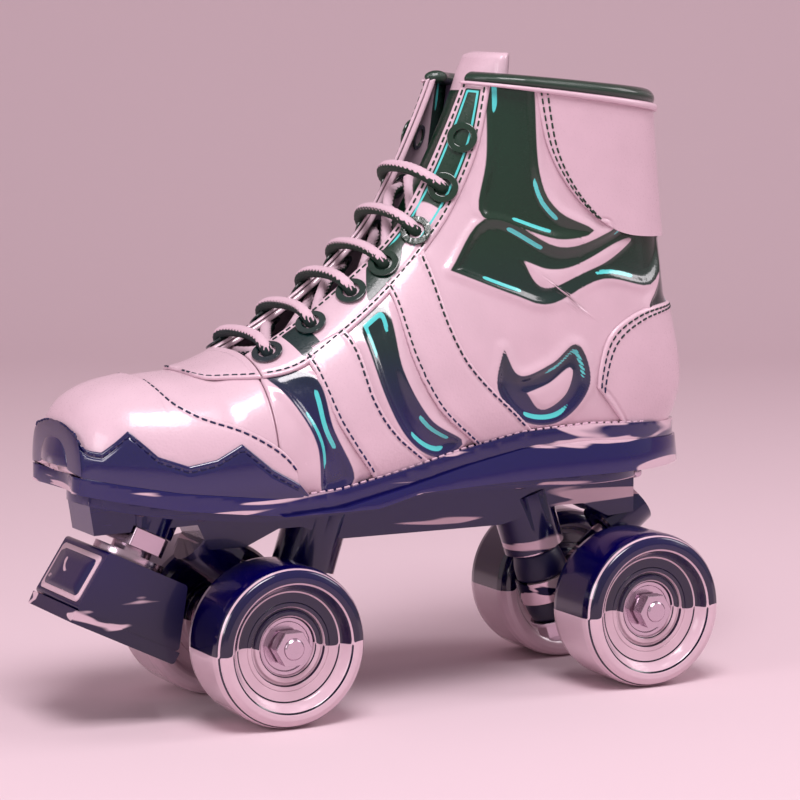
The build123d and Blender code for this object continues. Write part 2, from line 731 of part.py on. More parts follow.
# ---------------------------------------------------------------- trucks
BARREL_RADIUS = 7.5
BARREL_END = 20.0
AXLE_END = 50.5
NUT_START = 15.0


def hanger(axle_x, facing):
    """The truck's casting: axle barrel, kingpin ring, pivot pin with its ball, and the web between."""
    with BuildPart() as casting:
        with BuildSketch(Plane.XZ):
            with BuildLine():
                outline = [(12.5, 37.5), (16.5, 40), (4.5, 50.5), (0.5, 48), (-5, 37), (-4, 27), (5, 25), (7.8, 28),
                           (9, 35.2)]
                Polyline(*[(axle_x - facing * u, z) for u, z in outline], close=True)
            make_face()
        extrude(amount=4.5, both=True)
        with Locations((axle_x, 0, WHEEL_RADIUS)):
            Cylinder(BARREL_RADIUS, 2 * BARREL_END, rotation=(90, 0, 0))
        rod(king_plane(axle_x, facing, -RING_THICKNESS / 2), RING_RADIUS, RING_THICKNESS)
        rod(steer_plane(axle_x, facing), 3.2, 17.0)
        with Locations(ball_point(axle_x, facing)):
            Sphere(PIVOT_BALL)
        rod(king_plane(axle_x, facing, -20), 6.2, 40, Mode.SUBTRACT)
        with Locations((axle_x, 0, WHEEL_RADIUS)):
            Cylinder(AXLE_RADIUS, 100, rotation=(90, 0, 0), mode=Mode.SUBTRACT)
    return casting.part


def axle(axle_x):
    """The steel axle through the barrel, with chamfered ends."""
    with BuildPart() as shaft:
        with Locations((axle_x, 0, WHEEL_RADIUS)):
            Cylinder(AXLE_RADIUS, 2 * AXLE_END, rotation=(90, 0, 0))
        chamfer(shaft.edges(), 0.6)
    return shaft.part


def kingpin(axle_x, facing):
    """The bolt that holds the ring and its cushions up against the plate."""
    with BuildPart() as bolt:
        rod(king_plane(axle_x, facing, -24.0), KINGPIN_RADIUS, 61.5)
        chamfer(bolt.edges().filter_by(GeomType.CIRCLE), 0.7)
    return bolt.part


def kingpin_nut(axle_x, facing):
    """The lock nut under the lower washer."""
    with BuildPart() as nut:
        with BuildSketch(king_plane(axle_x, facing, -NUT_START)):
            RegularPolygon(8.0, 6)
            Circle(KINGPIN_RADIUS, mode=Mode.SUBTRACT)
        extrude(amount=-6.0)
    return nut.part


def cushion(axle_x, facing, start, end, radius, far_radius):
    """A rubber cushion on the kingpin, wider at the ring than at its washer."""
    with BuildPart() as rubber:
        for reach, wide in ((start, radius), (end, far_radius)):
            with BuildSketch(king_plane(axle_x, facing, reach)):
                Circle(wide)
        loft()
        rod(king_plane(axle_x, facing, -30), KINGPIN_RADIUS, 60, Mode.SUBTRACT)
    return rubber.part


def king_washer(axle_x, facing, reach):
    """A cupped washer between a cushion and the plate or the nut."""
    with BuildPart() as washer:
        rod(king_plane(axle_x, facing, reach), 10.0, 1.5)
        rod(king_plane(axle_x, facing, -30), KINGPIN_RADIUS, 60, Mode.SUBTRACT)
    return washer.part


def pivot_cup(axle_x, facing):
    """The plastic socket in the plate that the pivot ball sits in."""
    with BuildPart() as cup:
        rod(steer_plane(axle_x, facing, CUP_MOUTH), CUP_RADIUS, -CUP_MOUTH - 7.0)
        with Locations(ball_point(axle_x, facing)):
            Sphere(PIVOT_BALL + RUNNING, mode=Mode.SUBTRACT)
        rod(steer_plane(axle_x, facing), PIVOT_BALL + RUNNING, 10, Mode.SUBTRACT)
    return cup.part


for end, (axle_x, facing) in TRUCKS.items():
    ring_top = RING_THICKNESS / 2 + RUNNING
    save(hanger(axle_x, facing), f"{end}_hanger")
    save(axle(axle_x), f"{end}_axle")
    save(kingpin(axle_x, facing), f"{end}_kingpin")
    save(kingpin_nut(axle_x, facing), f"{end}_kingpin_nut")
    save(cushion(axle_x, facing, ring_top, 16.0, 10.5, 9.2), f"{end}_upper_cushion")
    save(cushion(axle_x, facing, -ring_top, -13.5, 10.2, 8.6), f"{end}_lower_cushion")
    washers = [king_washer(axle_x, facing, reach) for reach in (16.0, -NUT_START)]
    save(group(washers), f"{end}_kingpin_washers")
    save(pivot_cup(axle_x, facing), f"{end}_pivot_cup")


# ---------------------------------------------------------------- wheels
HUB_RADIUS = 17.0
OUTER_BEARING = 36.0
INNER_BEARING = 21.0


def turned(axle_x, points, side, middle):
    """A ring turned round an axle: points are (radius, distance outwards from the middle)."""
    plane = Plane(origin=(axle_x, side * middle, WHEEL_RADIUS), x_dir=(1, 0, 0), z_dir=(0, 0, side))
    with BuildPart() as ring:
        with BuildSketch(plane):
            with BuildLine():
                Polyline(*points, close=True)
            make_face()
        revolve(axis=Axis((axle_x, 0, WHEEL_RADIUS), (0, 1, 0)))
    return ring


def tyre(axle_x, side):
    """The urethane tyre: a flat tread with round shoulders and dished faces."""
    half = WHEEL_WIDTH / 2
    points = [(HUB_RADIUS, -11), (22, -11), (24.5, -half), (27.5, -half), (30, -half + 2.2), (31, -half + 5.5),
              (31, half - 5.5), (30, half - 2.2), (27.5, half), (24.5, half), (22, half - 4), (HUB_RADIUS, half - 5)]
    return turned(axle_x, points, side, TRACK / 2).part


def hub(axle_x, side):
    """The hard core inside the tyre, with a seat for a bearing in each face."""
    points = [(BEARING_RADIUS, -13), (13.5, -13), (14.5, -11), (HUB_RADIUS, -11), (HUB_RADIUS, 10.5), (14.5, 10.5),
              (13.5, 9.6), (BEARING_RADIUS, 9.6), (BEARING_RADIUS, 2), (8, 2), (8, -6), (BEARING_RADIUS, -6)]
    return turned(axle_x, points, side, TRACK / 2).part


def bearing(axle_x, side, start):
    """A ball bearing with sunk shields between its races."""
    bore = AXLE_RADIUS + RUNNING
    points = [(bore, 0), (5.6, 0), (5.6, 0.5), (9.4, 0.5), (9.4, 0), (BEARING_RADIUS, 0), (BEARING_RADIUS, 7),
              (9.4, 7), (9.4, 6.5), (5.6, 6.5), (5.6, 7), (bore, 7)]
    return turned(axle_x, points, side, start).part


def axle_ring(axle_x, side, start, radius, length):
    """A washer or spacer on the axle."""
    points = [(AXLE_RADIUS, 0), (radius, 0), (radius, length), (AXLE_RADIUS, length)]
    return turned(axle_x, points, side, start).part


def axle_nut(axle_x, side):
    """The thin lock nut outside the wheel."""
    plane = Plane(origin=(axle_x, side * 43.9, WHEEL_RADIUS), x_dir=(1, 0, 0), z_dir=(0, side, 0))
    with BuildPart() as nut:
        with BuildSketch(plane):
            RegularPolygon(7.3, 6)
            Circle(AXLE_RADIUS, mode=Mode.SUBTRACT)
        extrude(amount=5.6)
    return nut.part


for end, (axle_x, facing) in TRUCKS.items():
    small_parts = {"axle_nuts": [], "axle_spacers": []}
    for side, name in ((1, "left"), (-1, "right")):
        save(tyre(axle_x, side), f"{end}_{name}_tyre")
        save(hub(axle_x, side), f"{end}_{name}_hub")
        races = [bearing(axle_x, side, start) for start in (INNER_BEARING, OUTER_BEARING)]
        save(group(races), f"{end}_{name}_bearings")
        small_parts["axle_nuts"].append(axle_nut(axle_x, side))
        small_parts["axle_spacers"].append(axle_ring(axle_x, side, BARREL_END, 5.6, 0.95))
        small_parts["axle_spacers"].append(axle_ring(axle_x, side, 43.05, 5.6, 0.85))
        small_parts["axle_spacers"].append(axle_ring(axle_x, side, 28.05, 5.6, 7.9))
    for label, pieces in small_parts.items():
        save(group(pieces), f"{end}_{label}")
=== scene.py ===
"""The looks of a quad roller skate: boot, laces, sole, plate, trucks, wheels and toe stop.

The CAD frame gives every place. The boot's leather is worked out from the same foot form as the CAD
model: a fan of sections from the toe (position 0) to above the collar (position 17), each section a
closed curve whose turn is 0 at the front, pi at the back, and negative on the right side.
Lengths in this file are millimetres unless a name says otherwise; meshes are written in metres.
"""

import json
import logging
import math
from dataclasses import dataclass, field
from enum import Enum

import bmesh
import bpy
import numpy as np
from numpy.typing import NDArray
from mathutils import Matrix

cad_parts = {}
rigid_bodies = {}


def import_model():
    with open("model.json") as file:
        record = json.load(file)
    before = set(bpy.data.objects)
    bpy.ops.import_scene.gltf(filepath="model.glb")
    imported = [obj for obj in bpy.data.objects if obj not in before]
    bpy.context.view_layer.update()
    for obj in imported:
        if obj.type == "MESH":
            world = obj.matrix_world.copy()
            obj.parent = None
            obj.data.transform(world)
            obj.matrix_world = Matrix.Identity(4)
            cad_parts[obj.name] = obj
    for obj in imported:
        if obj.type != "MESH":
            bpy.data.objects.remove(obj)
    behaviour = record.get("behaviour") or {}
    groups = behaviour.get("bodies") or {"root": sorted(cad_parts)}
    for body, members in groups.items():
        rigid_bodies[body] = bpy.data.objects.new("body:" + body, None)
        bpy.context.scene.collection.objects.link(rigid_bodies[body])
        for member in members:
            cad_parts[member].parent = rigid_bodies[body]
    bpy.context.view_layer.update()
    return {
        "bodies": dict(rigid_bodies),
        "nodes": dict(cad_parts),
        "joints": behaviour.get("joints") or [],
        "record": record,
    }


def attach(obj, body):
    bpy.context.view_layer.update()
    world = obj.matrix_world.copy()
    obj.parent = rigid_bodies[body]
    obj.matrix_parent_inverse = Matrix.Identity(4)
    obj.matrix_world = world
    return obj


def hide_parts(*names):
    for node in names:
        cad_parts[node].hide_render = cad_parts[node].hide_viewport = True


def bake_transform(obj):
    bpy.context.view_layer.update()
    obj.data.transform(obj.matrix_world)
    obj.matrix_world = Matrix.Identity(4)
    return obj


Array = NDArray[np.float64]
Outline = list[tuple[float, float]]
LOG = logging.getLogger("skate")
MM = 0.001


# ---------------------------------------------------------------- finishes
class Ink(Enum):
    """Where a finish shows its dark tone."""

    NONE = "none"
    ALL = "all"
    # PAINTED reads each piece's ink attribute, which on the ankle, eyestays, lace and wheels carries painted
    # shade and painted reflection.
    PAINTED = "painted"
    # Painted highlight: pale streaks of stretched noise over the dark tone, standing for reflections on
    # glossy surfaces.
    PAINTED_SHEEN = "flow"


class Grain(Enum):
    """The fine relief of a finish."""

    SMOOTH = "smooth"
    LEATHER = "leather"
    WEAVE = "weave"
    CAST = "cast"


@dataclass(frozen=True)
class Finish:
    """One procedural material: a pale tone, a dark tone that changes with height, and its relief."""

    name: str
    slot: str
    pale: tuple[float, float, float] = (0.66, 0.48, 0.55)
    ink: Ink = Ink.NONE
    grain: Grain = Grain.SMOOTH
    roughness: float = 0.35
    metallic: float = 0.0
    coat: float = 0.0
    relief_mm: float = 0.05
    grain_mm: float = 1.2
    # Size, level and stretch of the painted highlight streaks.
    sheen_mm: float = 30.0
    sheen_level: float = 0.5
    stretch: tuple[float, float, float] = (1.0, 1.0, 1.0)

    def build(self) -> bpy.types.Material:
        """Make the material.

        Returns:
            The new material, with colour, roughness and bump from its nodes.
        """
        material = bpy.data.materials.new(self.name)
        material.use_nodes = True
        tree = material.node_tree
        shader = tree.nodes["Principled BSDF"]
        shader.inputs["Metallic"].default_value = self.metallic
        shader.inputs["Coat Weight"].default_value = self.coat
        shader.inputs["Coat Roughness"].default_value = 0.06
        place = tree.nodes.new("ShaderNodeTexCoord").outputs["Object"]
        colour = self._colour(tree, place)
        tree.links.new(colour, shader.inputs["Base Color"])
        self._relief(tree, place, shader)
        return material

    def _dark(self, tree: bpy.types.NodeTree, place: bpy.types.NodeSocket) -> bpy.types.NodeSocket:
        """The dark tone: near black at the floor, navy round the sole, deep green at the ankle.

        Args:
            tree: The material's nodes.
            place: The object coordinates.

        Returns:
            The colour socket.
        """
        parts = tree.nodes.new("ShaderNodeSeparateXYZ")
        tree.links.new(place, parts.inputs[0])
        height = tree.nodes.new("ShaderNodeMapRange")
        height.inputs["From Max"].default_value = 0.25
        tree.links.new(parts.outputs["Z"], height.inputs["Value"])
        ramp = tree.nodes.new("ShaderNodeValToRGB")
        stops = ramp.color_ramp.elements
        stops[0].position, stops[0].color = 0.0, (0.001, 0.0, 0.008, 1)
        stops[1].position, stops[1].color = 1.0, (0.0, 0.028, 0.012, 1)
        for at, tone in ((0.16, (0.001, 0.0, 0.028, 1)), (0.34, (0.001, 0.0, 0.085, 1)),
                         (0.46, (0.001, 0.002, 0.06, 1)), (0.56, (0.0, 0.016, 0.018, 1)),
                         (0.72, (0.0, 0.024, 0.009, 1))):
            stop = stops.new(at)
            stop.color = tone
        tree.links.new(height.outputs[0], ramp.inputs[0])
        return ramp.outputs[0]

    def _crisp(self, tree: bpy.types.NodeTree, value: bpy.types.NodeSocket, low: float,
               high: float) -> bpy.types.NodeSocket:
        """A painted value sharpened into a clean edge.

        Args:
            tree: The material's nodes.
            value: The painted value.
            low: Where the edge starts.
            high: Where it is complete.

        Returns:
            A value socket from 0 to 1.
        """
        edge = tree.nodes.new("ShaderNodeMapRange")
        edge.interpolation_type = "SMOOTHSTEP"
        edge.inputs["From Min"].default_value = low
        edge.inputs["From Max"].default_value = high
        tree.links.new(value, edge.inputs["Value"])
        return edge.outputs[0]

    def _mask(self, tree: bpy.types.NodeTree, place: bpy.types.NodeSocket) -> bpy.types.NodeSocket:
        """How much of the dark tone shows at each point.

        Args:
            tree: The material's nodes.
            place: The object coordinates.

        Returns:
            A value socket from 0, pale, to 1, dark.
        """
        if self.ink is Ink.PAINTED:
            painted = tree.nodes.new("ShaderNodeAttribute")
            painted.attribute_name = "ink"
            return self._crisp(tree, painted.outputs["Fac"], 0.45, 0.55)
        # Painted highlight: where the stretched noise rises over the level, the pale tone shows through the
        # dark as streaks of painted reflection.
        noise = tree.nodes.new("ShaderNodeTexNoise")
        noise.inputs["Scale"].default_value = 1000.0 / self.sheen_mm
        noise.inputs["Detail"].default_value = 1.5
        noise.inputs["Distortion"].default_value = 1.2
        drawn = tree.nodes.new("ShaderNodeMapping")
        drawn.inputs["Scale"].default_value = self.stretch
        tree.links.new(place, drawn.inputs["Vector"])
        tree.links.new(drawn.outputs[0], noise.inputs["Vector"])
        edge = tree.nodes.new("ShaderNodeMapRange")
        edge.interpolation_type = "SMOOTHSTEP"
        tree.links.new(noise.outputs[0], edge.inputs["Value"])
        edge.inputs["From Min"].default_value = self.sheen_level + 0.015
        edge.inputs["From Max"].default_value = self.sheen_level - 0.015
        return edge.outputs[0]

    def _colour(self, tree: bpy.types.NodeTree, place: bpy.types.NodeSocket) -> bpy.types.NodeSocket:
        """The pale and dark tones mixed by the mask, with a slight drift of shade.

        Args:
            tree: The material's nodes.
            place: The object coordinates.

        Returns:
            The colour socket.
        """
        drift = tree.nodes.new("ShaderNodeTexNoise")
        drift.inputs["Scale"].default_value = 60.0
        drift.inputs["Detail"].default_value = 4.0
        tree.links.new(place, drift.inputs["Vector"])
        pale = tree.nodes.new("ShaderNodeMix")
        pale.data_type = "RGBA"
        pale.inputs["A"].default_value = (*(0.9 * c for c in self.pale), 1)
        pale.inputs["B"].default_value = (*(min(1.08 * c, 1.0) for c in self.pale), 1)
        tree.links.new(drift.outputs[0], pale.inputs["Factor"])
        if self.ink is Ink.NONE:
            return pale.outputs["Result"]
        dark = self._dark(tree, place)
        if self.ink is Ink.ALL:
            return dark
        mask = self._mask(tree, place)
        both = tree.nodes.new("ShaderNodeMix")
        both.data_type = "RGBA"
        tree.links.new(mask, both.inputs["Factor"])
        tree.links.new(pale.outputs["Result"], both.inputs["A"])
        tree.links.new(dark, both.inputs["B"])
        if self.ink is not Ink.PAINTED:
            return both.outputs["Result"]
        # Painted highlight: a teal tone laid over the mix where the glint attribute is high.
        glint = tree.nodes.new("ShaderNodeAttribute")
        glint.attribute_name = "glint"
        lit = tree.nodes.new("ShaderNodeMix")
        lit.data_type = "RGBA"
        lit.inputs["B"].default_value = (0.08, 0.62, 0.6, 1)
        tree.links.new(self._crisp(tree, glint.outputs["Fac"], 0.6, 0.72), lit.inputs["Factor"])
        tree.links.new(both.outputs["Result"], lit.inputs["A"])
        return lit.outputs["Result"]

    def _relief(self, tree: bpy.types.NodeTree, place: bpy.types.NodeSocket,
                shader: bpy.types.Node) -> None:
        """Bump and a roughness that varies with the same texture.

        Args:
            tree: The material's nodes.
            place: The object coordinates.
            shader: The material's shader.
        """
        kind = {Grain.LEATHER: "ShaderNodeTexVoronoi", Grain.WEAVE: "ShaderNodeTexWave"}
        texture = tree.nodes.new(kind.get(self.grain, "ShaderNodeTexNoise"))
        texture.inputs["Scale"].default_value = 1000.0 / self.grain_mm
        tree.links.new(place, texture.inputs["Vector"])
        value = texture.outputs["Distance"] if self.grain is Grain.LEATHER else texture.outputs[0]
        spread = tree.nodes.new("ShaderNodeMapRange")
        spread.inputs["To Min"].default_value = max(self.roughness - 0.05, 0.03)
        spread.inputs["To Max"].default_value = self.roughness + 0.08
        tree.links.new(value, spread.inputs["Value"])
        tree.links.new(spread.outputs[0], shader.inputs["Roughness"])
        bump = tree.nodes.new("ShaderNodeBump")
        bump.inputs["Strength"].default_value = 0.6
        bump.inputs["Distance"].default_value = self.relief_mm * MM
        tree.links.new(value, bump.inputs["Height"])
        tree.links.new(bump.outputs[0], shader.inputs["Normal"])


# Painted reflection and shade: on the ankle the pale pink is a painted reflection on the dark patent leather,
# the dark pools in the folds' hollows are painted shade, and the glint is a painted teal highlight.
PATENT = Finish("patent_leather", "patent_leather", ink=Ink.PAINTED, grain=Grain.LEATHER, roughness=0.2,
                coat=0.7, relief_mm=0.03, grain_mm=0.9)
PINK = Finish("pink_leather", "pink_leather", ink=Ink.PAINTED, grain=Grain.LEATHER, roughness=0.3, coat=0.35,
              relief_mm=0.06, grain_mm=1.1)
PLAIN_PINK = Finish("pink_edge_leather", "pink_leather", grain=Grain.LEATHER, roughness=0.35, coat=0.2)
NAVY = Finish("navy_leather", "navy_leather", ink=Ink.ALL, grain=Grain.LEATHER, roughness=0.16, coat=1.0,
              relief_mm=0.03)
THREAD = Finish("dark_thread", "lining_fabric", ink=Ink.ALL, grain=Grain.WEAVE, roughness=0.5, grain_mm=0.5)
LINING = Finish("lining_cloth", "lining_fabric", pale=(0.16, 0.12, 0.2), grain=Grain.WEAVE, roughness=0.8,
                grain_mm=1.0, relief_mm=0.15)
# Painted shade: the lace's ink paints its underside dark, leaving its upper side pale as a painted highlight.
LACE = Finish("braided_lace", "lace_cord", pale=(0.72, 0.52, 0.6), ink=Ink.PAINTED, grain=Grain.WEAVE,
              roughness=0.6, grain_mm=0.9, relief_mm=0.12)
ENAMEL = Finish("green_enamel", "eyelet_enamel", ink=Ink.ALL, grain=Grain.SMOOTH, roughness=0.12, coat=1.0)
# Painted highlight: the sole, plate and truck finishes leave pale streaks of painted reflection on their dark
# tone.
SOLE_GLOSS = Finish("sole_gloss", "sole_plastic", ink=Ink.PAINTED_SHEEN, grain=Grain.CAST, roughness=0.18, coat=0.6,
                    sheen_mm=9.0, sheen_level=0.62, stretch=(0.11, 0.11, 1.0), grain_mm=2.0, relief_mm=0.01)
PLATE_PAINT = Finish("plate_enamel", "plate_metal", ink=Ink.PAINTED_SHEEN, grain=Grain.CAST, roughness=0.18, coat=0.6,
                     metallic=0.2, sheen_mm=12.0, sheen_level=0.61, stretch=(0.16, 0.16, 1.0), grain_mm=1.5,
                     relief_mm=0.02)
TRUCK_METAL = Finish("truck_enamel", "truck_chrome", ink=Ink.PAINTED_SHEEN, grain=Grain.CAST, roughness=0.14,
                     metallic=0.6, sheen_mm=9.0, sheen_level=0.52, stretch=(0.5, 0.5, 1.0), grain_mm=1.5,
                     relief_mm=0.02)
STEEL = Finish("turned_steel", "steel", pale=(0.62, 0.5, 0.58), ink=Ink.NONE, grain=Grain.CAST,
               roughness=0.22, metallic=1.0, grain_mm=0.4, relief_mm=0.01)
# Painted reflection: the tyre and hub are painted dark above the axle and pale below it, the pale lower half
# standing for the floor reflected in them.
URETHANE = Finish("urethane", "urethane", ink=Ink.PAINTED, grain=Grain.CAST, roughness=0.16, coat=0.6,
                  grain_mm=3.0, relief_mm=0.01)
HUB = Finish("hub_plastic", "hub_plastic", ink=Ink.PAINTED, grain=Grain.CAST, roughness=0.15, coat=0.8,
             grain_mm=2.0, relief_mm=0.01)
# Painted highlight: pale streaks of painted reflection on the toe stop's dark rubber.
RUBBER = Finish("stop_rubber", "stop_rubber", ink=Ink.PAINTED_SHEEN, grain=Grain.CAST, roughness=0.3, coat=0.4,
                sheen_mm=14.0, sheen_level=0.69, stretch=(0.4, 0.4, 1.0), grain_mm=1.2, relief_mm=0.04)
CUSHION = Finish("cushion_rubber", "cushion_rubber", ink=Ink.ALL, grain=Grain.CAST, roughness=0.4,
                 grain_mm=0.8)
BOARD = Finish("insole_cloth", "insole_board", pale=(0.42, 0.3, 0.36), grain=Grain.WEAVE, roughness=0.8)
NAVY_BINDING = Finish("binding_tape", "navy_leather", ink=Ink.ALL, grain=Grain.WEAVE, roughness=0.3, coat=0.6,
                      relief_mm=0.08, grain_mm=0.8)
STOP_PALE = Finish("stop_frame", "stop_rubber", grain=Grain.CAST, roughness=0.3, coat=0.4)
# Painted highlight: pale streaks of painted reflection on the dark inset of the toe stop's face.
STOP_DARK = Finish("stop_inset", "stop_rubber", ink=Ink.PAINTED_SHEEN, grain=Grain.CAST, roughness=0.3, coat=0.4,
                   sheen_mm=9.0, sheen_level=0.6, stretch=(0.6, 0.6, 1.0))
PALE_THREAD = Finish("pale_thread", "lace_cord", pale=(0.66, 0.45, 0.55), grain=Grain.WEAVE, roughness=0.6,
                     grain_mm=0.5)


class Wardrobe:
    """Makes each finish once and puts it on pieces."""

    def __init__(self) -> None:
        """Start with no materials made."""
        self._made: dict[str, bpy.types.Material] = {}

    def dress(self, piece: bpy.types.Object, finish: Finish) -> None:
        """Give a piece one finish.

        Args:
            piece: The mesh object.
            finish: The finish to give it.
        """
        if finish.name not in self._made:
            self._made[finish.name] = finish.build()
        piece.data.materials.clear()
        piece.data.materials.append(self._made[finish.name])


WARDROBE = Wardrobe()


# ---------------------------------------------------------------- mesh helpers
def grid_faces(rows: int, columns: int, wrap_rows: bool = False, wrap_columns: bool = False) -> Array:
    """The quads of a grid of points numbered row by row.

    Args:
        rows: Number of rows.
        columns: Number of columns.
        wrap_rows: Whether the last row joins the first.
        wrap_columns: Whether the last column joins the first.

    Returns:
        An array of four point numbers for each quad.
    """
    down = np.arange(rows if wrap_rows else rows - 1)
    along = np.arange(columns if wrap_columns else columns - 1)
    row, column = np.meshgrid(down, along, indexing="ij")
    row, column = row.ravel(), column.ravel()
    below, beside = (row + 1) % rows, (column + 1) % columns
    return np.stack([row * columns + column, row * columns + beside, below * columns + beside,
                     below * columns + column], axis=-1)


def new_piece(name: str, points: Array, faces: Array, finish: Finish, body: str,
              replaced: tuple[str, ...] = (), ink: Array | None = None,
              glint: Array | None = None) -> bpy.types.Object:
    """Put an array of points and quads into a mesh, dress it and let it ride.

    Args:
        name: The piece's name.
        points: Points in millimetres, one row each.
        faces: Point numbers of each quad.
        finish: Its finish.
        body: The CAD body it rides on, or nothing to leave it unattached.
        replaced: The CAD nodes it stands for.
        ink: How dark each point is painted, from 0 to 1.
        glint: How strongly a painted teal highlight shows on each point, from 0 to 1.

    Returns:
        The new object.
    """
    mesh = bpy.data.meshes.new(name)
    mesh.from_pydata((points.reshape(-1, 3) * MM).tolist(), [], faces.tolist())
    for word, values in (("ink", ink), ("glint", glint)):
        if values is not None:
            layer = mesh.attributes.new(word, "FLOAT", "POINT")
            layer.data.foreach_set("value", np.ascontiguousarray(values.ravel(), dtype=np.float32))
    mesh.polygons.foreach_set("use_smooth", np.ones(len(mesh.polygons), dtype=bool))
    mesh.validate()
    piece = bpy.data.objects.new(f"{name}_surface", mesh)
    bpy.context.scene.collection.objects.link(piece)
    WARDROBE.dress(piece, finish)
    if body:
        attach(piece, body)
    if replaced:
        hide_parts(*replaced)
    face_out(piece)
    LOG.info("%s: %d points", name, len(mesh.vertices))
    return piece


def face_out(piece: bpy.types.Object) -> None:
    """Turn a piece's faces outwards.

    Args:
        piece: A closed mesh object.
    """
    shape = bmesh.new()
    shape.from_mesh(piece.data)
    bmesh.ops.remove_doubles(shape, verts=shape.verts, dist=1e-7)
    bmesh.ops.recalc_face_normals(shape, faces=shape.faces)
    shape.to_mesh(piece.data)
    shape.free()


def ease(value: Array, low: float, high: float) -> Array:
    """A smooth step from 0 at low to 1 at high."""
    share = np.clip((value - low) / (high - low), 0.0, 1.0)
    return share * share * (3.0 - 2.0 * share)


def inside(x: Array, z: Array, outline: Outline) -> Array:
    """How far inside a smooth closed side-view outline each point is; outside it is negative.

    Args:
        x: Places along the skate.
        z: Heights.
        outline: The outline's points, in order.

    Returns:
        The distances, in millimetres.
    """
    edge = smooth_line([*outline, outline[0]], 60)
    nearest = np.full(x.shape, 1e9)
    within = np.zeros(x.shape, dtype=bool)
    for (ax, az), (bx, bz) in zip(edge[:-1], edge[1:]):
        run_x, run_z = bx - ax, bz - az
        share = np.clip(((x - ax) * run_x + (z - az) * run_z) / (run_x**2 + run_z**2 + 1e-12), 0, 1)
        nearest = np.minimum(nearest, np.hypot(x - ax - share * run_x, z - az - share * run_z))
        crosses = ((az > z) != (bz > z)) & (x < ax + (z - az) * run_x / (run_z if run_z else 1e-12))
        within ^= crosses
    return np.where(within, nearest, -nearest)


def smooth_line(points: Outline, count: int) -> Array:
    """A smooth line through side-view points, evenly spaced, by Catmull-Rom cubics.

    Args:
        points: The points it passes through.
        count: How many points to return.

    Returns:
        The line's points, one (x, z) row each.
    """
    knots = np.array(points, dtype=float)
    padded = np.vstack([2 * knots[0] - knots[1], knots, 2 * knots[-1] - knots[-2]])
    place = np.linspace(0, len(knots) - 1, 24 * len(knots))
    start = np.clip(place.astype(int), 0, len(knots) - 2)
    part = (place - start)[:, None]
    before, here, there, after = (padded[start + step] for step in range(4))
    fine = here + 0.5 * part * (there - before + part * (2 * before - 5 * here + 4 * there - after
                                + part * (3 * (here - there) + after - before)))
    length = np.concatenate([[0], np.cumsum(np.linalg.norm(np.diff(fine, axis=0), axis=1))])
    even = np.linspace(0, length[-1], count)
    return np.stack([np.interp(even, length, fine[:, axis]) for axis in (0, 1)], axis=-1)


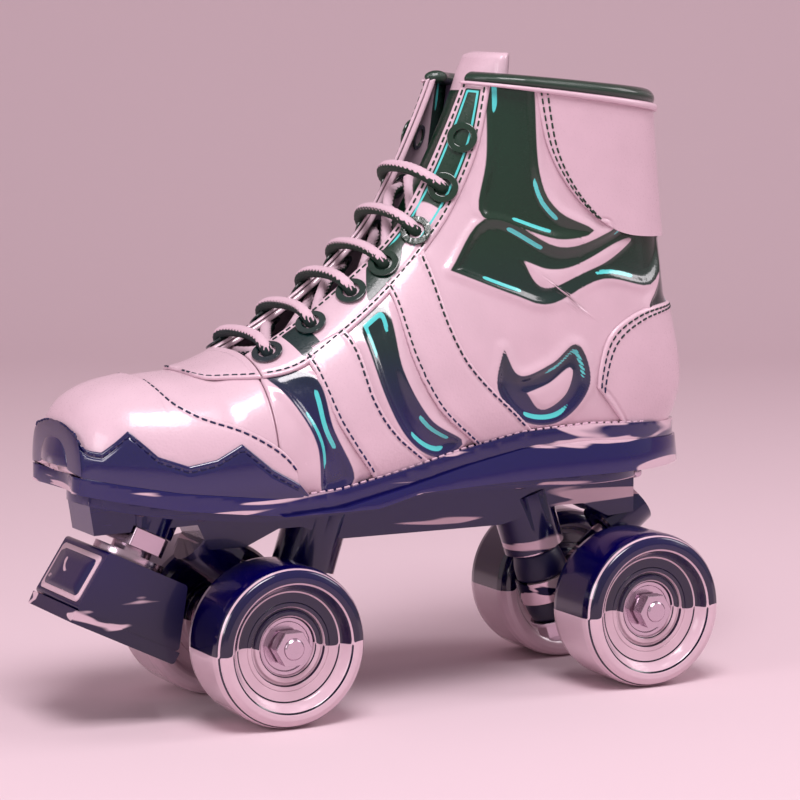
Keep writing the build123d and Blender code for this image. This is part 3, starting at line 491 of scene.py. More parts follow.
# ---------------------------------------------------------------- the foot form
class FootForm:
    """The closed foot form that all the leather is cut from, as arrays."""

    # One row for each cross-section: front point (x, z), back point (x, z), half width, where along
    # the section it is widest, sideways shift, and how far its surface faces forward.
    STATIONS = np.array([
        (133.4, 98.5, 133.4, 94.5, 3.0, 0.50, -5.0, 1.00),
        (132.7, 107.0, 132.7, 86.0, 13.0, 0.50, -5.0, 0.98),
        (130.4, 115.5, 130.4, 80.0, 20.5, 0.53, -5.0, 0.89),
        (125.0, 122.6, 125.0, 76.0, 28.0, 0.55, -4.6, 0.67),
        (115.0, 127.4, 115.0, 74.0, 34.5, 0.57, -4.0, 0.41),
        (98.0, 130.4, 98.0, 72.0, 40.0, 0.60, -3.0, 0.20),
        (77.0, 132.8, 76.0, 73.5, 42.5, 0.62, -1.5, 0.0),
        (58.5, 141.0, 52.0, 72.5, 42.5, 0.64, 0.0, 0.0),
        (42.0, 150.5, 26.0, 75.0, 41.0, 0.64, 1.0, 0.0),
        (27.0, 161.0, -4.0, 80.0, 39.5, 0.62, 1.5, 0.0),
        (12.5, 173.0, -38.0, 87.0, 37.5, 0.58, 1.0, 0.0),
        (0.5, 186.0, -76.0, 88.0, 36.0, 0.55, 0.5, 0.0),
        (-7.0, 199.0, -114.0, 88.0, 35.5, 0.52, 0.0, 0.0),
        (-12.5, 209.0, -132.5, 114.0, 34.5, 0.50, 0.0, 0.0),
        (-18.0, 219.0, -126.5, 153.0, 34.0, 0.50, 0.0, 0.0),
        (-23.5, 229.5, -121.5, 191.0, 34.0, 0.50, 0.0, 0.0),
        (-29.0, 241.0, -117.0, 231.0, 35.0, 0.50, 0.0, 0.0),
        (-35.0, 259.0, -114.0, 250.0, 36.0, 0.50, 0.0, 0.0),
    ])
    FULLNESS = 0.82
    MOST_GROWTH = 8.0
    THROAT_END = 6.7
    COLLAR = 16.0

    def row(self, place: Array) -> Array:
        """The section's eight values at positions along the form.

        Args:
            place: Positions from 0 to 17.

        Returns:
            The values, with one more axis of length 8.
        """
        last = len(self.STATIONS) - 1
        start = np.clip(np.floor(place).astype(int), 0, last - 1)
        part = (place - start)[..., None]
        before, here, there, after = (self.STATIONS[np.clip(start + step, 0, last)] for step in (-1, 0, 1, 2))
        lead, trail = 0.5 * (there - before), 0.5 * (after - here)
        rest = 3.0 * (there - here) - 2.0 * lead - trail
        return here + part * (lead + part * (rest + part * (2.0 * (here - there) + lead + trail)))

    def at(self, place: Array, turn: Array, grow: Array | float = 0.0) -> Array:
        """Points of the form moved outwards.

        Args:
            place: Positions along the form.
            turn: Turns round the section.
            grow: How far out, in millimetres.

        Returns:
            The points, with one more axis of length 3.
        """
        front_x, front_z, back_x, back_z, half, widest, shift, facing = np.moveaxis(self.row(place), -1, 0)
        facing = np.clip(facing, 0.0, 0.995)
        radial = grow / np.sqrt(1.0 - facing * facing)
        radial = np.minimum(np.maximum(radial, -0.8 * half), self.MOST_GROWTH + grow)
        run_x, run_z = back_x - front_x, back_z - front_z
        length = np.hypot(run_x, run_z)
        ends = np.maximum(radial, -0.4 * length) / length
        reach = np.abs(np.cos(turn)) ** self.FULLNESS
        along = np.where(np.cos(turn) > 0, widest * (1.0 - reach), widest + (1.0 - widest) * reach)
        along = along * (1.0 + 2.0 * ends) - ends
        spread = np.sign(np.sin(turn)) * np.abs(np.sin(turn)) ** self.FULLNESS * (half + radial)
        return np.stack(np.broadcast_arrays(front_x + run_x * along, shift + spread,
                                            front_z + run_z * along), -1)

    def turn_at_side(self, place: Array, distance: float) -> Array:
        """The turn, on the front half, at a signed distance from the middle plane."""
        row = self.row(np.asarray(place, dtype=float))
        share = np.minimum(np.abs(distance - row[..., 6]) / row[..., 4], 0.97)
        return np.arcsin(share ** (1.0 / self.FULLNESS)) * (1 if distance >= 0 else -1)

    def turn_of_share(self, place: Array, share: Array) -> Array:
        """The turn at which a section has covered a share of the way from front to back."""
        widest = self.row(place)[..., 5]
        early = np.arccos(np.clip(1.0 - share / widest, 0, 1) ** (1.0 / self.FULLNESS))
        late = math.pi - np.arccos(np.clip((share - widest) / (1.0 - widest), 0, 1) ** (1.0 / self.FULLNESS))
        return np.where(share < widest, early, late)

    def crossing(self, place: Array, seam: Array, which: int = 0, missing: float = 0.0) -> Array:
        """The turn where each section crosses a side-view line.

        Args:
            place: Positions along the form, one axis.
            seam: The line's points.
            which: 0 for the first crossing, -1 for the last, 1 for the second.
            missing: The turn given where there is no such crossing.

        Returns:
            One turn for each position.
        """
        rows = self.row(place)
        turns = np.full(len(place), missing)
        start, edge = seam[:-1], np.diff(seam, axis=0)
        for index, row in enumerate(rows):
            run = row[2:4] - row[0:2]
            gap = start - row[0:2]
            cross = run[0] * edge[:, 1] - run[1] * edge[:, 0]
            cross = np.where(np.abs(cross) < 1e-9, 1e-9, cross)
            share = (gap[:, 0] * edge[:, 1] - gap[:, 1] * edge[:, 0]) / cross
            on_edge = (gap[:, 0] * run[1] - gap[:, 1] * run[0]) / cross
            found = np.sort(share[(on_edge >= 0) & (on_edge <= 1) & (share > 0) & (share < 1)])
            if len(found) > max(which, 0):
                turns[index] = self.turn_of_share(place[index], found[which])
        return turns

    def locate(self, line: Array) -> tuple[Array, Array]:
        """The position and the turn, on the left side, of each point of a side-view line."""
        places = np.linspace(0.0, 17.0, 1701)
        rows = self.row(places)
        run = rows[:, 2:4] - rows[:, 0:2]
        found_place, found_share = [], []
        for point in line:
            gap = point - rows[:, 0:2]
            share = np.clip((gap * run).sum(axis=1) / (run * run).sum(axis=1), 0.0, 1.0)
            best = int(np.argmin(((gap - run * share[:, None]) ** 2).sum(axis=1)))
            found_place.append(places[best])
            found_share.append(share[best])
        place = np.array(found_place)
        return place, self.turn_of_share(place, np.array(found_share))


FORM = FootForm()
SOLE_LINE: Outline = [(150, 98.6), (133, 96.5), (100, 91.0), (62, 87.0), (36, 88.6), (11, 93.6), (-20, 100.0),
                      (-46, 104.4), (-78, 105.6), (-108, 104.0), (-150, 101.0)]
EYESTAY_SEAM: Outline = [(94, 150), (86, 132), (72, 130), (50.7, 133), (29.8, 145), (8.5, 160.5),
                         (-8.7, 176.5), (-21.7, 193.5), (-31.3, 214.4), (-37, 238), (-41, 262)]


def sole_edge(place: Array) -> Array:
    """The turn where each section meets the sole, or pi behind the heel."""
    return FORM.crossing(place, np.array(SOLE_LINE) + (0.0, 0.4), -1, math.pi)


# ---------------------------------------------------------------- leather pieces
@dataclass
class Cut:
    """A piece of leather: a grid of places on the form between two edges, with a thickness."""

    name: str
    finish: Finish
    place: Array
    turn: Array
    outer: float
    inner: float
    replaced: tuple[str, ...] = ()
    round_over: float = 0.9
    free_start: bool = True
    free_end: bool = True
    free_first: bool = True
    free_last: bool = True
    relief: Array | None = None
    ink: Array | None = None
    glint: Array | None = None
    stitch_inset: float = 2.4
    dome: float = 0.0
    skin: Array = field(init=False)

    def __post_init__(self) -> None:
        """Work out the outer skin."""
        self.skin = self._surface()

    def distance_inside(self) -> Array:
        """How far each point of the skin is from the nearest free edge."""
        return self._distance(self.skin)

    def _distance(self, points: Array) -> Array:
        """How far each grid point is from the nearest free edge."""
        step = np.linalg.norm(np.diff(points, axis=1), axis=-1)
        far = np.concatenate([np.zeros((len(points), 1)), np.cumsum(step, axis=1)], axis=1)
        drop = np.linalg.norm(np.diff(points, axis=0), axis=-1)
        deep = np.concatenate([np.zeros((1, points.shape[1])), np.cumsum(drop, axis=0)], axis=0)
        nearest = np.full(far.shape, 99.0)
        if self.free_start:
            nearest = np.minimum(nearest, far)
        if self.free_end:
            nearest = np.minimum(nearest, far[:, -1:] - far)
        if self.free_first:
            nearest = np.minimum(nearest, deep)
        if self.free_last:
            nearest = np.minimum(nearest, deep[-1:] - deep)
        return nearest

    def _surface(self) -> Array:
        """The outer skin with its rounded edges, the dip along its stitches and its relief."""
        base = FORM.at(self.place, self.turn, self.outer)
        near = self._distance(base)
        rounding = np.sqrt(np.clip(1.0 - (1.0 - np.clip(near / self.round_over, 0, 1)) ** 2, 0, 1))
        lift = self.inner + (self.outer - self.inner) * (0.35 + 0.65 * rounding)
        lift = lift + self.dome * ease(near, 0.0, 12.0)
        lift = lift - 0.3 * np.exp(-((near - self.stitch_inset) / 0.7) ** 2) * (self.stitch_inset > 0)
        if self.relief is not None:
            lift = lift + self.relief
        return FORM.at(self.place, self.turn, lift)

    def build(self) -> bpy.types.Object:
        """Make the closed solid.

        Returns:
            The new object.
        """
        rows, columns = self.place.shape
        flesh = FORM.at(self.place, self.turn, self.inner)
        loops = np.concatenate([self.skin, flesh[:, ::-1]], axis=1)
        faces = [grid_faces(rows, 2 * columns, wrap_columns=True)]
        column = np.arange(columns - 1)
        far = 2 * columns - 1 - column
        for row in (0, rows - 1):
            faces.append(np.stack([column, column + 1, far - 1, far], axis=-1) + row * 2 * columns)
        ink, glint = (None if paint is None else np.concatenate([paint, paint[:, ::-1]], axis=1)
                      for paint in (self.ink, self.glint))
        return new_piece(self.name, loops, np.concatenate(faces), self.finish, "boot_and_plate",
                         self.replaced, ink, glint)

    def seam(self, edge: str, inset: float) -> Array:
        """The line on the skin at an even distance inside one edge.

        Args:
            edge: "start", "end", "first" or "last".
            inset: The distance from the edge.

        Returns:
            The line's points.
        """
        skin = self.skin if edge in ("start", "end") else self.skin.swapaxes(0, 1)
        if edge in ("end", "last"):
            skin = skin[:, ::-1]
        step = np.linalg.norm(np.diff(skin, axis=1), axis=-1)
        far = np.concatenate([np.zeros((len(skin), 1)), np.cumsum(step, axis=1)], axis=1)
        keep = far[:, -1] > 2.0 * inset
        lines = [[np.interp(inset, far[i], skin[i, :, axis]) for axis in range(3)]
                 for i in np.flatnonzero(keep)]
        return np.array(lines)


def bunched(count: int) -> Array:
    """Shares from 0 to 1, close together at both ends."""
    return 0.5 - 0.5 * np.cos(np.linspace(0, math.pi, count))


def between_edges(places: Array, start: Array, end: Array, columns: int) -> tuple[Array, Array]:
    """The grid of places and turns between two edges given section by section."""
    share = bunched(columns)
    turn = start[:, None] + (end - start)[:, None] * share
    return np.repeat(places[:, None], columns, axis=1), turn


def between_lines(first: Outline, second: Outline, rows: int, columns: int) -> tuple[Array, Array]:
    """The grid of places and turns between two side-view lines."""
    place_a, turn_a = FORM.locate(smooth_line(first, rows))
    place_b, turn_b = FORM.locate(smooth_line(second, rows))
    share = bunched(columns)
    return (place_a[:, None] + (place_b - place_a)[:, None] * share,
            turn_a[:, None] + (turn_b - turn_a)[:, None] * share)


@dataclass
class Thread:
    """Rows of stitches: short rounded bars lying along lines."""

    name: str
    lines: list[Array]
    finish: Finish = THREAD
    pitch: float = 3.3
    length: float = 2.3
    radius: float = 0.42
    sides: int = 6

    def build(self) -> bpy.types.Object:
        """Make all the stitches as one mesh.

        Returns:
            The new object.
        """
        points, faces = [], []
        ring = np.linspace(0, 2 * math.pi, self.sides, endpoint=False)
        shares = np.array([-0.5, -0.42, 0.42, 0.5])
        sizes = np.array([0.35, 1.0, 1.0, 0.35])
        for line in self.lines:
            far = np.concatenate([[0], np.cumsum(np.linalg.norm(np.diff(line, axis=0), axis=1))])
            for middle in np.arange(self.pitch, far[-1] - 0.5 * self.pitch, self.pitch):
                ends = [np.array([np.interp(middle + reach, far, line[:, axis]) for axis in range(3)])
                        for reach in (-0.5 * self.length, 0.5 * self.length)]
                run = ends[1] - ends[0]
                run /= max(np.linalg.norm(run), 1e-9)
                side = np.cross(run, (0.31, 0.87, 0.38))
                side /= max(np.linalg.norm(side), 1e-9)
                rise = np.cross(run, side)
                centre = 0.5 * (ends[0] + ends[1])
                disc = np.cos(ring)[:, None] * side + np.sin(ring)[:, None] * rise
                start = sum(len(bar) for bar in points)
                bar = centre + (shares * self.length)[:, None, None] * run + \
                    (sizes * self.radius)[:, None, None] * disc
                points.append(bar.reshape(-1, 3))
                faces.append(grid_faces(4, self.sides, wrap_columns=True) + start)
                for row, order in ((0, (0, 1, 2, 3)), (3, (3, 2, 1, 0))):
                    caps = np.array([[0, 1, 2, 3], [0, 3, 4, 5]]) + start + row * self.sides
                    faces.append(caps[:, list(order)])
        return new_piece(self.name, np.concatenate(points), np.concatenate(faces), self.finish,
                         "boot_and_plate")


# ---------------------------------------------------------------- the boot's outside
@dataclass
class Upper:
    """The vamp, the quarters and every leather overlay, with their stitching."""

    threads: list[Array] = field(default_factory=list)

    # Painted shade: side-view outlines of the dark pools painted in the hollows of the ankle's folds.
    SHADE_POOLS: tuple[Outline, ...] = (
        [(-36, 250), (-50, 248), (-54, 205), (-62, 190), (-78, 182), (-62, 179), (-40, 186),
         (-30, 190), (-34, 212)],
        [(-16, 168), (-34, 188), (-62, 176), (-84, 181), (-106, 193), (-118, 178), (-108, 160), (-82, 163),
         (-58, 154), (-42, 158)],
        [(-36, 138), (-43, 127), (-58, 131), (-70, 138), (-76, 122), (-64, 108), (-46, 109), (-33, 122)],
        [(24, 150), (12, 155), (9, 132), (-2, 113), (-18, 103), (-6, 98), (8, 106), (18, 124)],
        [(64, 134), (45, 131), (40, 112), (31, 92), (44, 88), (47, 106), (54, 120)],
        [(-112, 180), (-113, 162), (-106, 150), (-126, 150), (-132, 164), (-128, 180)])
    # Painted highlight: side-view outlines of the raised patches painted pale as sheen.
    GLOSS: tuple[Outline, ...] = (
        [(-46, 172), (-58, 167), (-78, 172), (-98, 178), (-80, 168), (-58, 160)],
        [(-46, 120), (-58, 122), (-68, 128), (-66, 118), (-56, 113)])

    def folds(self, points: Array) -> tuple[Array, Array, Array]:
        """The soft folds of the ankle, with painted shade pooled in their hollows, a pale painted reflection
        elsewhere and painted teal highlights along the pools' edges.

        Args:
            points: Points of the plain leather.

        Returns:
            The lift of each point, in millimetres, its ink of painted shade and its glint of painted
            highlight.
        """
        x, z = points[..., 0], points[..., 2]
        depth = np.max([inside(x, z, outline) for outline in self.SHADE_POOLS], axis=0)
        gloss = np.max([inside(x, z, outline) for outline in self.GLOSS], axis=0)
        wander = 0.9 * np.sin(x / 5.0 + z / 9.0)
        lift = 0.9 * ease(depth, -4.0, 0.0) - 1.8 * ease(depth, 0.0, 4.0) + 0.7 * ease(gloss, -2.0, 2.0)
        # Painted shade inside the pools, with the sheen patches and everything outside the pools painted pale
        # as reflection.
        ink = np.clip(0.5 + np.minimum(depth, -gloss - wander) / 6.0, 0.0, 1.0)
        # Painted teal highlight on a band just inside each pool's edge.
        rim = np.clip(1.1 - np.abs(depth - 2.6) / 1.7, 0.0, 1.0)
        glint = rim * ease(np.sin(x / 8.0 + z / 13.0), 0.0, 0.5)
        return lift, ink, glint

    def build(self) -> None:
        """Make every piece of the outside."""
        self.vamp()
        for side, name in ((1, "left"), (-1, "right")):
            self.quarter(side, name)
            self.eyestay(side, name)
        self.tab()
        self.toe()
        self.stripes()
        self.heel()
        self.patch()
        Thread("dark_stitches", self.threads).build()

    def vamp(self) -> None:
        """The front of the boot under the overlays."""
        places = np.linspace(0.0, FORM.THROAT_END, 120)
        edge = sole_edge(places)
        place, turn = between_edges(places, -edge, edge, 160)
        points = FORM.at(place, turn)
        crease = 0.5 * np.exp(-((points[..., 0] - 78.0) / 3.0) ** 2) * ease(points[..., 2], 100.0, 125.0)
        Cut("vamp", PINK, place, turn, 0.0, -2.2, ("vamp",), free_first=False, free_start=False,
            free_end=False, stitch_inset=0.0, relief=-crease, ink=np.zeros_like(turn)).build()

    def quarter(self, side: int, name: str) -> None:
        """One glossy side of the ankle, from the throat round to the back seam."""
        places = np.linspace(FORM.THROAT_END, FORM.COLLAR, 220)
        start = np.abs(FORM.turn_at_side(places, side * 14.0))
        edge = sole_edge(places)
        place, turn = between_edges(places, start, edge, 200)
        # Painted light: the folds give the patent leather its painted shade pools, its pale painted
        # reflection and its painted teal highlights.
        lift, ink, glint = self.folds(FORM.at(place, turn))
        seam = FORM.crossing(places, smooth_line(EYESTAY_SEAM, 80))[:, None]
        clear = ease(turn - seam, 0.02, 0.2)
        Cut(f"quarter_{name}", PATENT, place, side * turn, 0.0, -2.2, (f"quarter_{name}",), free_end=False,
            free_first=False, stitch_inset=0.0, relief=lift * clear, ink=ink, glint=glint).build()

    def eyestay(self, side: int, name: str) -> None:
        """One side of the stitched strip that carries the eyelets."""
        places = np.linspace(FORM.THROAT_END + 0.02, FORM.COLLAR, 260)
        start = np.abs(FORM.turn_at_side(places, side * 14.0))
        seam = FORM.crossing(places, smooth_line(EYESTAY_SEAM, 80))
        place, turn = between_edges(places, start, np.maximum(seam, start + 0.03), 34)
        piece = Cut(f"eyestay_{name}", PINK, place, side * turn, 1.4, 0.12, (f"eyestay_{name}",),
                    free_first=False)
        points = piece.skin
        border = piece.distance_inside()
        # Painted shade: inside its stitched margin the strip is painted dark in flowing bands and over its
        # upper part, with a painted teal highlight just inside the margin near the top.
        high = ease(points[..., 2], 150.0, 205.0)
        flow = np.sin(points[..., 0] / 5.5 + 0.8 * np.sin(points[..., 2] / 9.0))
        dark = np.maximum(ease(flow, 0.4, 0.8), ease(high + 0.25 * flow, 0.5, 0.8))
        piece.ink = ease(border, 2.9, 4.7) * dark
        piece.glint = np.clip(1.1 - np.abs(border - 4.9) / 1.0, 0.0, 1.0) * ease(high, 0.3, 0.6)
        piece.build()
        self.threads += [piece.seam("start", 2.4), piece.seam("end", 2.4)]

    def tab(self) -> None:
        """The leather across the front end of the throat."""
        line = smooth_line(EYESTAY_SEAM, 80)
        dense = np.linspace(4.5, FORM.THROAT_END, 300)
        crossed = FORM.crossing(dense, line)
        places = dense[crossed > 0.0]
        seam = np.maximum(crossed[crossed > 0.0], 0.02)
        place, turn = between_edges(places, -seam, seam, 60)
        piece = Cut("throat_tab", PINK, place, turn, 1.4, 0.12, ("throat_tab",), ink=np.zeros_like(turn))
        piece.build()
        self.threads += [piece.seam("start", 2.4), piece.seam("end", 2.4)]

    def toe(self) -> None:
        """The toe cap and, over it, the scalloped bumper."""
        cap: Outline = [(106, 150), (102, 128), (92, 119.5), (74, 113), (59, 103), (52, 90), (50, 70)]
        bumper: Outline = [(150, 104), (126, 105.5), (117.2, 113), (108, 104.5), (97.5, 101), (87, 103),
                           (77.3, 108), (66, 99), (55, 93), (46, 84)]
        self.layer("toe_cap", smooth_line(cap, 120), 6.95, PINK, 1.4, 0.12)
        self.layer("toe_bumper", np.array(bumper, dtype=float), 7.15, NAVY, 2.6, 1.5)
        self.nose()

    def nose(self) -> None:
        """The bumper's domed front, closing it over the very tip of the toe."""
        edge = sole_edge(np.array([0.02]))[0]
        turn = np.linspace(-edge, edge, 60)
        rim = FORM.at(np.full(60, 0.02), turn, 2.6)
        middle = np.array([rim[0, 0], rim[:, 1].mean(), rim[[0, -1], 2].mean()])
        share = np.sqrt(np.linspace(0.0, 1.0, 14))[:, None, None]
        front = middle + (rim - middle) * share
        front[..., 0] += 1.7 * (1.0 - share[..., 0] ** 2)
        back = front - (1.6, 0.0, 0.0)
        loops = np.concatenate([front, back[:, ::-1]], axis=1)
        column = np.arange(59)
        cap = np.stack([column, column + 1, 118 - column, 119 - column], axis=-1)
        ends = [cap + row * 120 for row in (0, 13)]
        faces = np.concatenate([grid_faces(14, 120, wrap_columns=True), *ends])
        new_piece("toe_bumper_nose", loops, faces, NAVY, "boot_and_plate", ("toe_bumper",))

    def layer(self, name: str, line: Array, last: float, finish: Finish, outer: float, inner: float) -> None:
        """A layer round the toe under a seam, in two halves that meet on the middle line.

        Args:
            name: The piece's name, which is also its CAD node.
            line: Its seam in side view.
            last: The position where it ends.
            finish: Its finish.
            outer: The height of its face.
            inner: The height of its back.
        """
        places = np.linspace(0.02, last, 260)
        seam = FORM.crossing(places, line)
        edge = sole_edge(places)
        top = np.minimum(seam, edge - 0.02)
        for side in (1, -1):
            share = bunched(70)
            turn = side * (top[:, None] + (edge - top)[:, None] * share)
            place = np.repeat(places[:, None], 70, axis=1)
            closed = seam <= 0.0
            near_start = Cut(f"{name}_{'left' if side > 0 else 'right'}", finish, place, turn, outer, inner,
                             (name,), free_first=False, free_end=False, free_last=False,
                             free_start=not closed.all(), ink=np.zeros_like(turn))
            plain = FORM.at(place, turn, outer)
            near_start.skin[closed] = plain[closed]
            near_start.build()
            self.threads.append(self.seam_of(near_start, ~closed))

    def seam_of(self, piece: Cut, rows: Array) -> Array:
        """The stitch line of the rows that have a free upper edge."""
        skin = piece.skin[rows]
        step = np.linalg.norm(np.diff(skin, axis=1), axis=-1)
        far = np.concatenate([np.zeros((len(skin), 1)), np.cumsum(step, axis=1)], axis=1)
        keep = np.flatnonzero(far[:, -1] > 4.0)
        return np.array([[np.interp(2.4, far[i], skin[i, :, axis]) for axis in range(3)] for i in keep])

    def stripes(self) -> None:
        """The two curved stripes on each side, stitched along both edges."""
        lines: list[Outline] = [
            [(46.5, 139.0), (44.5, 133.5), (39.2, 117), (32.1, 105.2), (22.4, 92.3)],
            [(29.0, 147.5), (26.1, 141.6), (21.1, 121.6), (11.7, 107.7), (-2.5, 96.8)],
            [(10.0, 163.0), (8.5, 158.7), (4.2, 135.7), (-6.6, 116), (-24.5, 101.3)],
            [(-7.5, 176.0), (-8.5, 169.3), (-14.2, 146.1), (-25.1, 128.2), (-50.5, 105.5)]]
        for number, (front, back) in enumerate((lines[:2], lines[2:]), start=1):
            place, turn = between_lines(front, back, 120, 30)
            for side, name in ((1, "left"), (-1, "right")):
                piece = Cut(f"stripe_{number}_{name}", PINK, place, side * turn, 1.4, 0.12, ("stripes",),
                            free_first=False, free_last=False, ink=0.0 * turn)
                piece.build()
                self.threads += [piece.seam("start", 2.0), piece.seam("end", 2.0)]

    def heel(self) -> None:
        """The counter round the heel."""
        seam: Outline = [(-140, 152), (-110, 151), (-95.5, 147.5), (-85, 140), (-80.5, 127), (-80.5, 114),
                         (-84, 104), (-90, 90)]
        line = smooth_line(seam, 90)
        dense = np.linspace(11.9, 14.1, 900)
        crossed = FORM.crossing(dense, line)
        edge = sole_edge(dense)
        keep = (crossed > 0) & (crossed < edge - 0.02) & (dense < 13.9)
        self.wrap("heel_counter", dense[keep][::3], crossed[keep][::3], edge[keep][::3], ("heel_counter",))

    def patch(self) -> None:
        """The patch round the back of the collar."""
        seam: Outline = [(-49, 262), (-54, 228), (-59.5, 210), (-71, 194), (-87, 182.5), (-106, 179),
                         (-140, 179)]
        line = smooth_line(seam, 120)
        dense = np.linspace(14.0, FORM.COLLAR, 900)
        crossed = FORM.crossing(dense, line)
        second = FORM.crossing(dense, line, 1, math.pi)
        keep = (crossed > 0) & (second > crossed + 0.02)
        self.wrap("collar_patch", dense[keep][::3], crossed[keep][::3], second[keep][::3], ("collar_patch",))

    def wrap(self, name: str, places: Array, start: Array, end: Array, replaced: tuple[str, ...]) -> None:
        """A layer on both sides that meets at the back seam, stitched twice along its edge.

        Args:
            name: The piece's name.
            places: Positions along the form.
            start: The turn of its front edge at each.
            end: The turn of its rear edge at each, pi where it reaches the back seam.
            replaced: The CAD nodes it stands for.
        """
        place, turn = between_edges(places, start, end, 80)
        for side, word in ((1, "left"), (-1, "right")):
            piece = Cut(f"{name}_{word}", PINK, place, side * turn, 1.4, 0.12, replaced, free_end=False,
                        free_last=False, ink=np.zeros_like(turn))
            piece.build()
            self.threads += [piece.seam("start", 2.4), piece.seam("start", 5.0)]


# ---------------------------------------------------------------- laces, tongue, collar
@dataclass
class Lacing:
    """The round lace along its whole route, braided, with a painted highlight on its pale upper side and
    painted shade beneath.
    """

    radius: float = 2.35
    bar_lift: float = 4.85
    levels: tuple[float, ...] = (7.05, 8.15, 9.25, 10.15, 11.2, 12.65, 14.3)

    EYELET_SIDE = 21.0
    CROSS_SIDE = 11.0
    OVER_EYELET = 3.45
    UNDER_EYELET = -5.2
    UPPER_CROSS = -2.4
    LOWER_CROSS = -7.3

    def point(self, place: float, distance: float, grow: float) -> Array:
        """A point of the route over or under the throat."""
        where = np.array(place)
        return FORM.at(where, FORM.turn_at_side(where, distance), grow)

    def eyelet(self, side: int, level: int, height: float) -> Array:
        """A point on an eyelet's axis, at a height over its leather."""
        where = np.array(self.levels[level])
        turn = FORM.turn_at_side(where, side * self.EYELET_SIDE)
        seat = FORM.at(where, turn, 1.4)
        along = FORM.at(where + 0.05, turn) - FORM.at(where - 0.05, turn)
        around = FORM.at(where, turn + 0.05) - FORM.at(where, turn - 0.05)
        axis = np.cross(along, around)
        axis /= np.linalg.norm(axis)
        middle = 0.5 * (FORM.at(where, np.array(0.0)) + FORM.at(where, np.array(math.pi)))
        if np.dot(FORM.at(where, np.array(0.0)) - middle, axis) < 0 and np.dot(seat - middle, axis) < 0:
            axis = -axis
        return seat + axis * height

    def bar(self, side: int, level: int) -> list[Array]:
        """Up through one eyelet, level over the throat, and down through the other."""
        above, below = self.OVER_EYELET, self.UNDER_EYELET
        over = [self.point(self.levels[level], side * self.CROSS_SIDE * share, self.bar_lift)
                for share in (1.0, -1.0)]
        return [self.eyelet(side, level, below), self.eyelet(side, level, above), *over,
                self.eyelet(-side, level, above), self.eyelet(-side, level, below)]

    def diagonal(self, side: int, level: int, end_level: int, grow: float) -> list[Array]:
        """Under the throat's edges, across to a different level."""
        start, end = self.levels[level], self.levels[end_level]
        shares = ((share, 0.5 + 0.5 * share * self.CROSS_SIDE / self.EYELET_SIDE) for share in (-1.0, 1.0))
        return [self.point(start + (end - start) * part, -share * side * self.CROSS_SIDE, grow)
                for share, part in shares]

    def route(self) -> Array:
        """The route's control points from one tucked end to the other."""
        low, high, across = self.LOWER_CROSS, self.UPPER_CROSS, self.CROSS_SIDE
        points = [self.point(self.levels[5] + 0.2, -across, low),
                  self.point(self.levels[4] + 0.45, across, low)]
        points += self.bar(1, 4) + self.diagonal(-1, 4, 2, low)
        points += self.bar(1, 2) + self.diagonal(-1, 2, 0, low)
        points += self.bar(-1, 0) + self.diagonal(1, 0, 1, high) + self.bar(-1, 1)
        points += self.diagonal(1, 1, 3, high) + self.bar(-1, 3) + self.diagonal(1, 3, 5, high)
        points += self.bar(-1, 5) + [self.point(self.levels[5] + 0.5, across, low)]
        return np.array(points)

    def smooth(self) -> Array:
        """The smooth line through the evaluated spline of the route, at an even pitch."""
        data = bpy.data.curves.new("lace_line", "CURVE")
        data.dimensions = "3D"
        spline = data.splines.new("NURBS")
        knots = self.route()
        spline.points.add(len(knots) - 1)
        spline.points.foreach_set("co", np.column_stack([knots, np.ones(len(knots))]).ravel())
        spline.order_u = 3
        spline.use_endpoint_u = True
        spline.resolution_u = 12
        holder = bpy.data.objects.new("lace_line", data)
        bpy.context.scene.collection.objects.link(holder)
        bpy.context.view_layer.update()
        mesh = holder.evaluated_get(bpy.context.evaluated_depsgraph_get()).to_mesh()
        line = np.empty(3 * len(mesh.vertices))
        mesh.vertices.foreach_get("co", line)
        line = line.reshape(-1, 3)
        bpy.data.objects.remove(holder)
        bpy.data.curves.remove(data)
        far = np.concatenate([[0], np.cumsum(np.linalg.norm(np.diff(line, axis=0), axis=1))])
        even = np.arange(0.0, far[-1], 0.55)
        return np.stack([np.interp(even, far, line[:, axis]) for axis in range(3)], axis=-1)

    def build(self) -> None:
        """Sweep the braided cord along the line."""
        line = self.smooth()
        run = np.gradient(line, axis=0)
        run /= np.linalg.norm(run, axis=1, keepdims=True)
        side = np.zeros_like(line)
        side[0] = np.cross(run[0], (0.0, 0.3, 1.0))
        for index in range(1, len(line)):
            side[index] = side[index - 1] - run[index] * np.dot(side[index - 1], run[index])
            side[index] /= np.linalg.norm(side[index])
        rise = np.cross(run, side)
        around = np.linspace(0, 2 * math.pi, 28, endpoint=False)
        far = np.arange(len(line))[:, None] * 0.55
        braid = np.abs(np.sin(4 * around + far * 1.15)) * np.abs(np.sin(4 * around - far * 1.15))
        size = self.radius - 0.12 + 0.2 * braid
        out = np.cos(around)[None, :, None] * side[:, None] + np.sin(around)[None, :, None] * rise[:, None]
        points = line[:, None] + out * size[..., None]
        # Painted shade: points facing away from the light above are painted dark, broken by the braid; the
        # upper side stays pale as a painted highlight.
        light = out @ np.array([0.25, 0.15, 0.95])
        ink = ease(-(light + 0.5 * (braid - 0.4)), -0.5, -0.3)
        rows = len(line)
        faces = [grid_faces(rows, 28, wrap_columns=True)]
        caps = np.array([[0, i, i + 1, i + 2] for i in range(1, 26, 2)])
        faces += [caps, caps + (rows - 1) * 28]
        new_piece("lace", points, np.concatenate(faces), LACE, "boot_and_plate", ("lace",), ink)


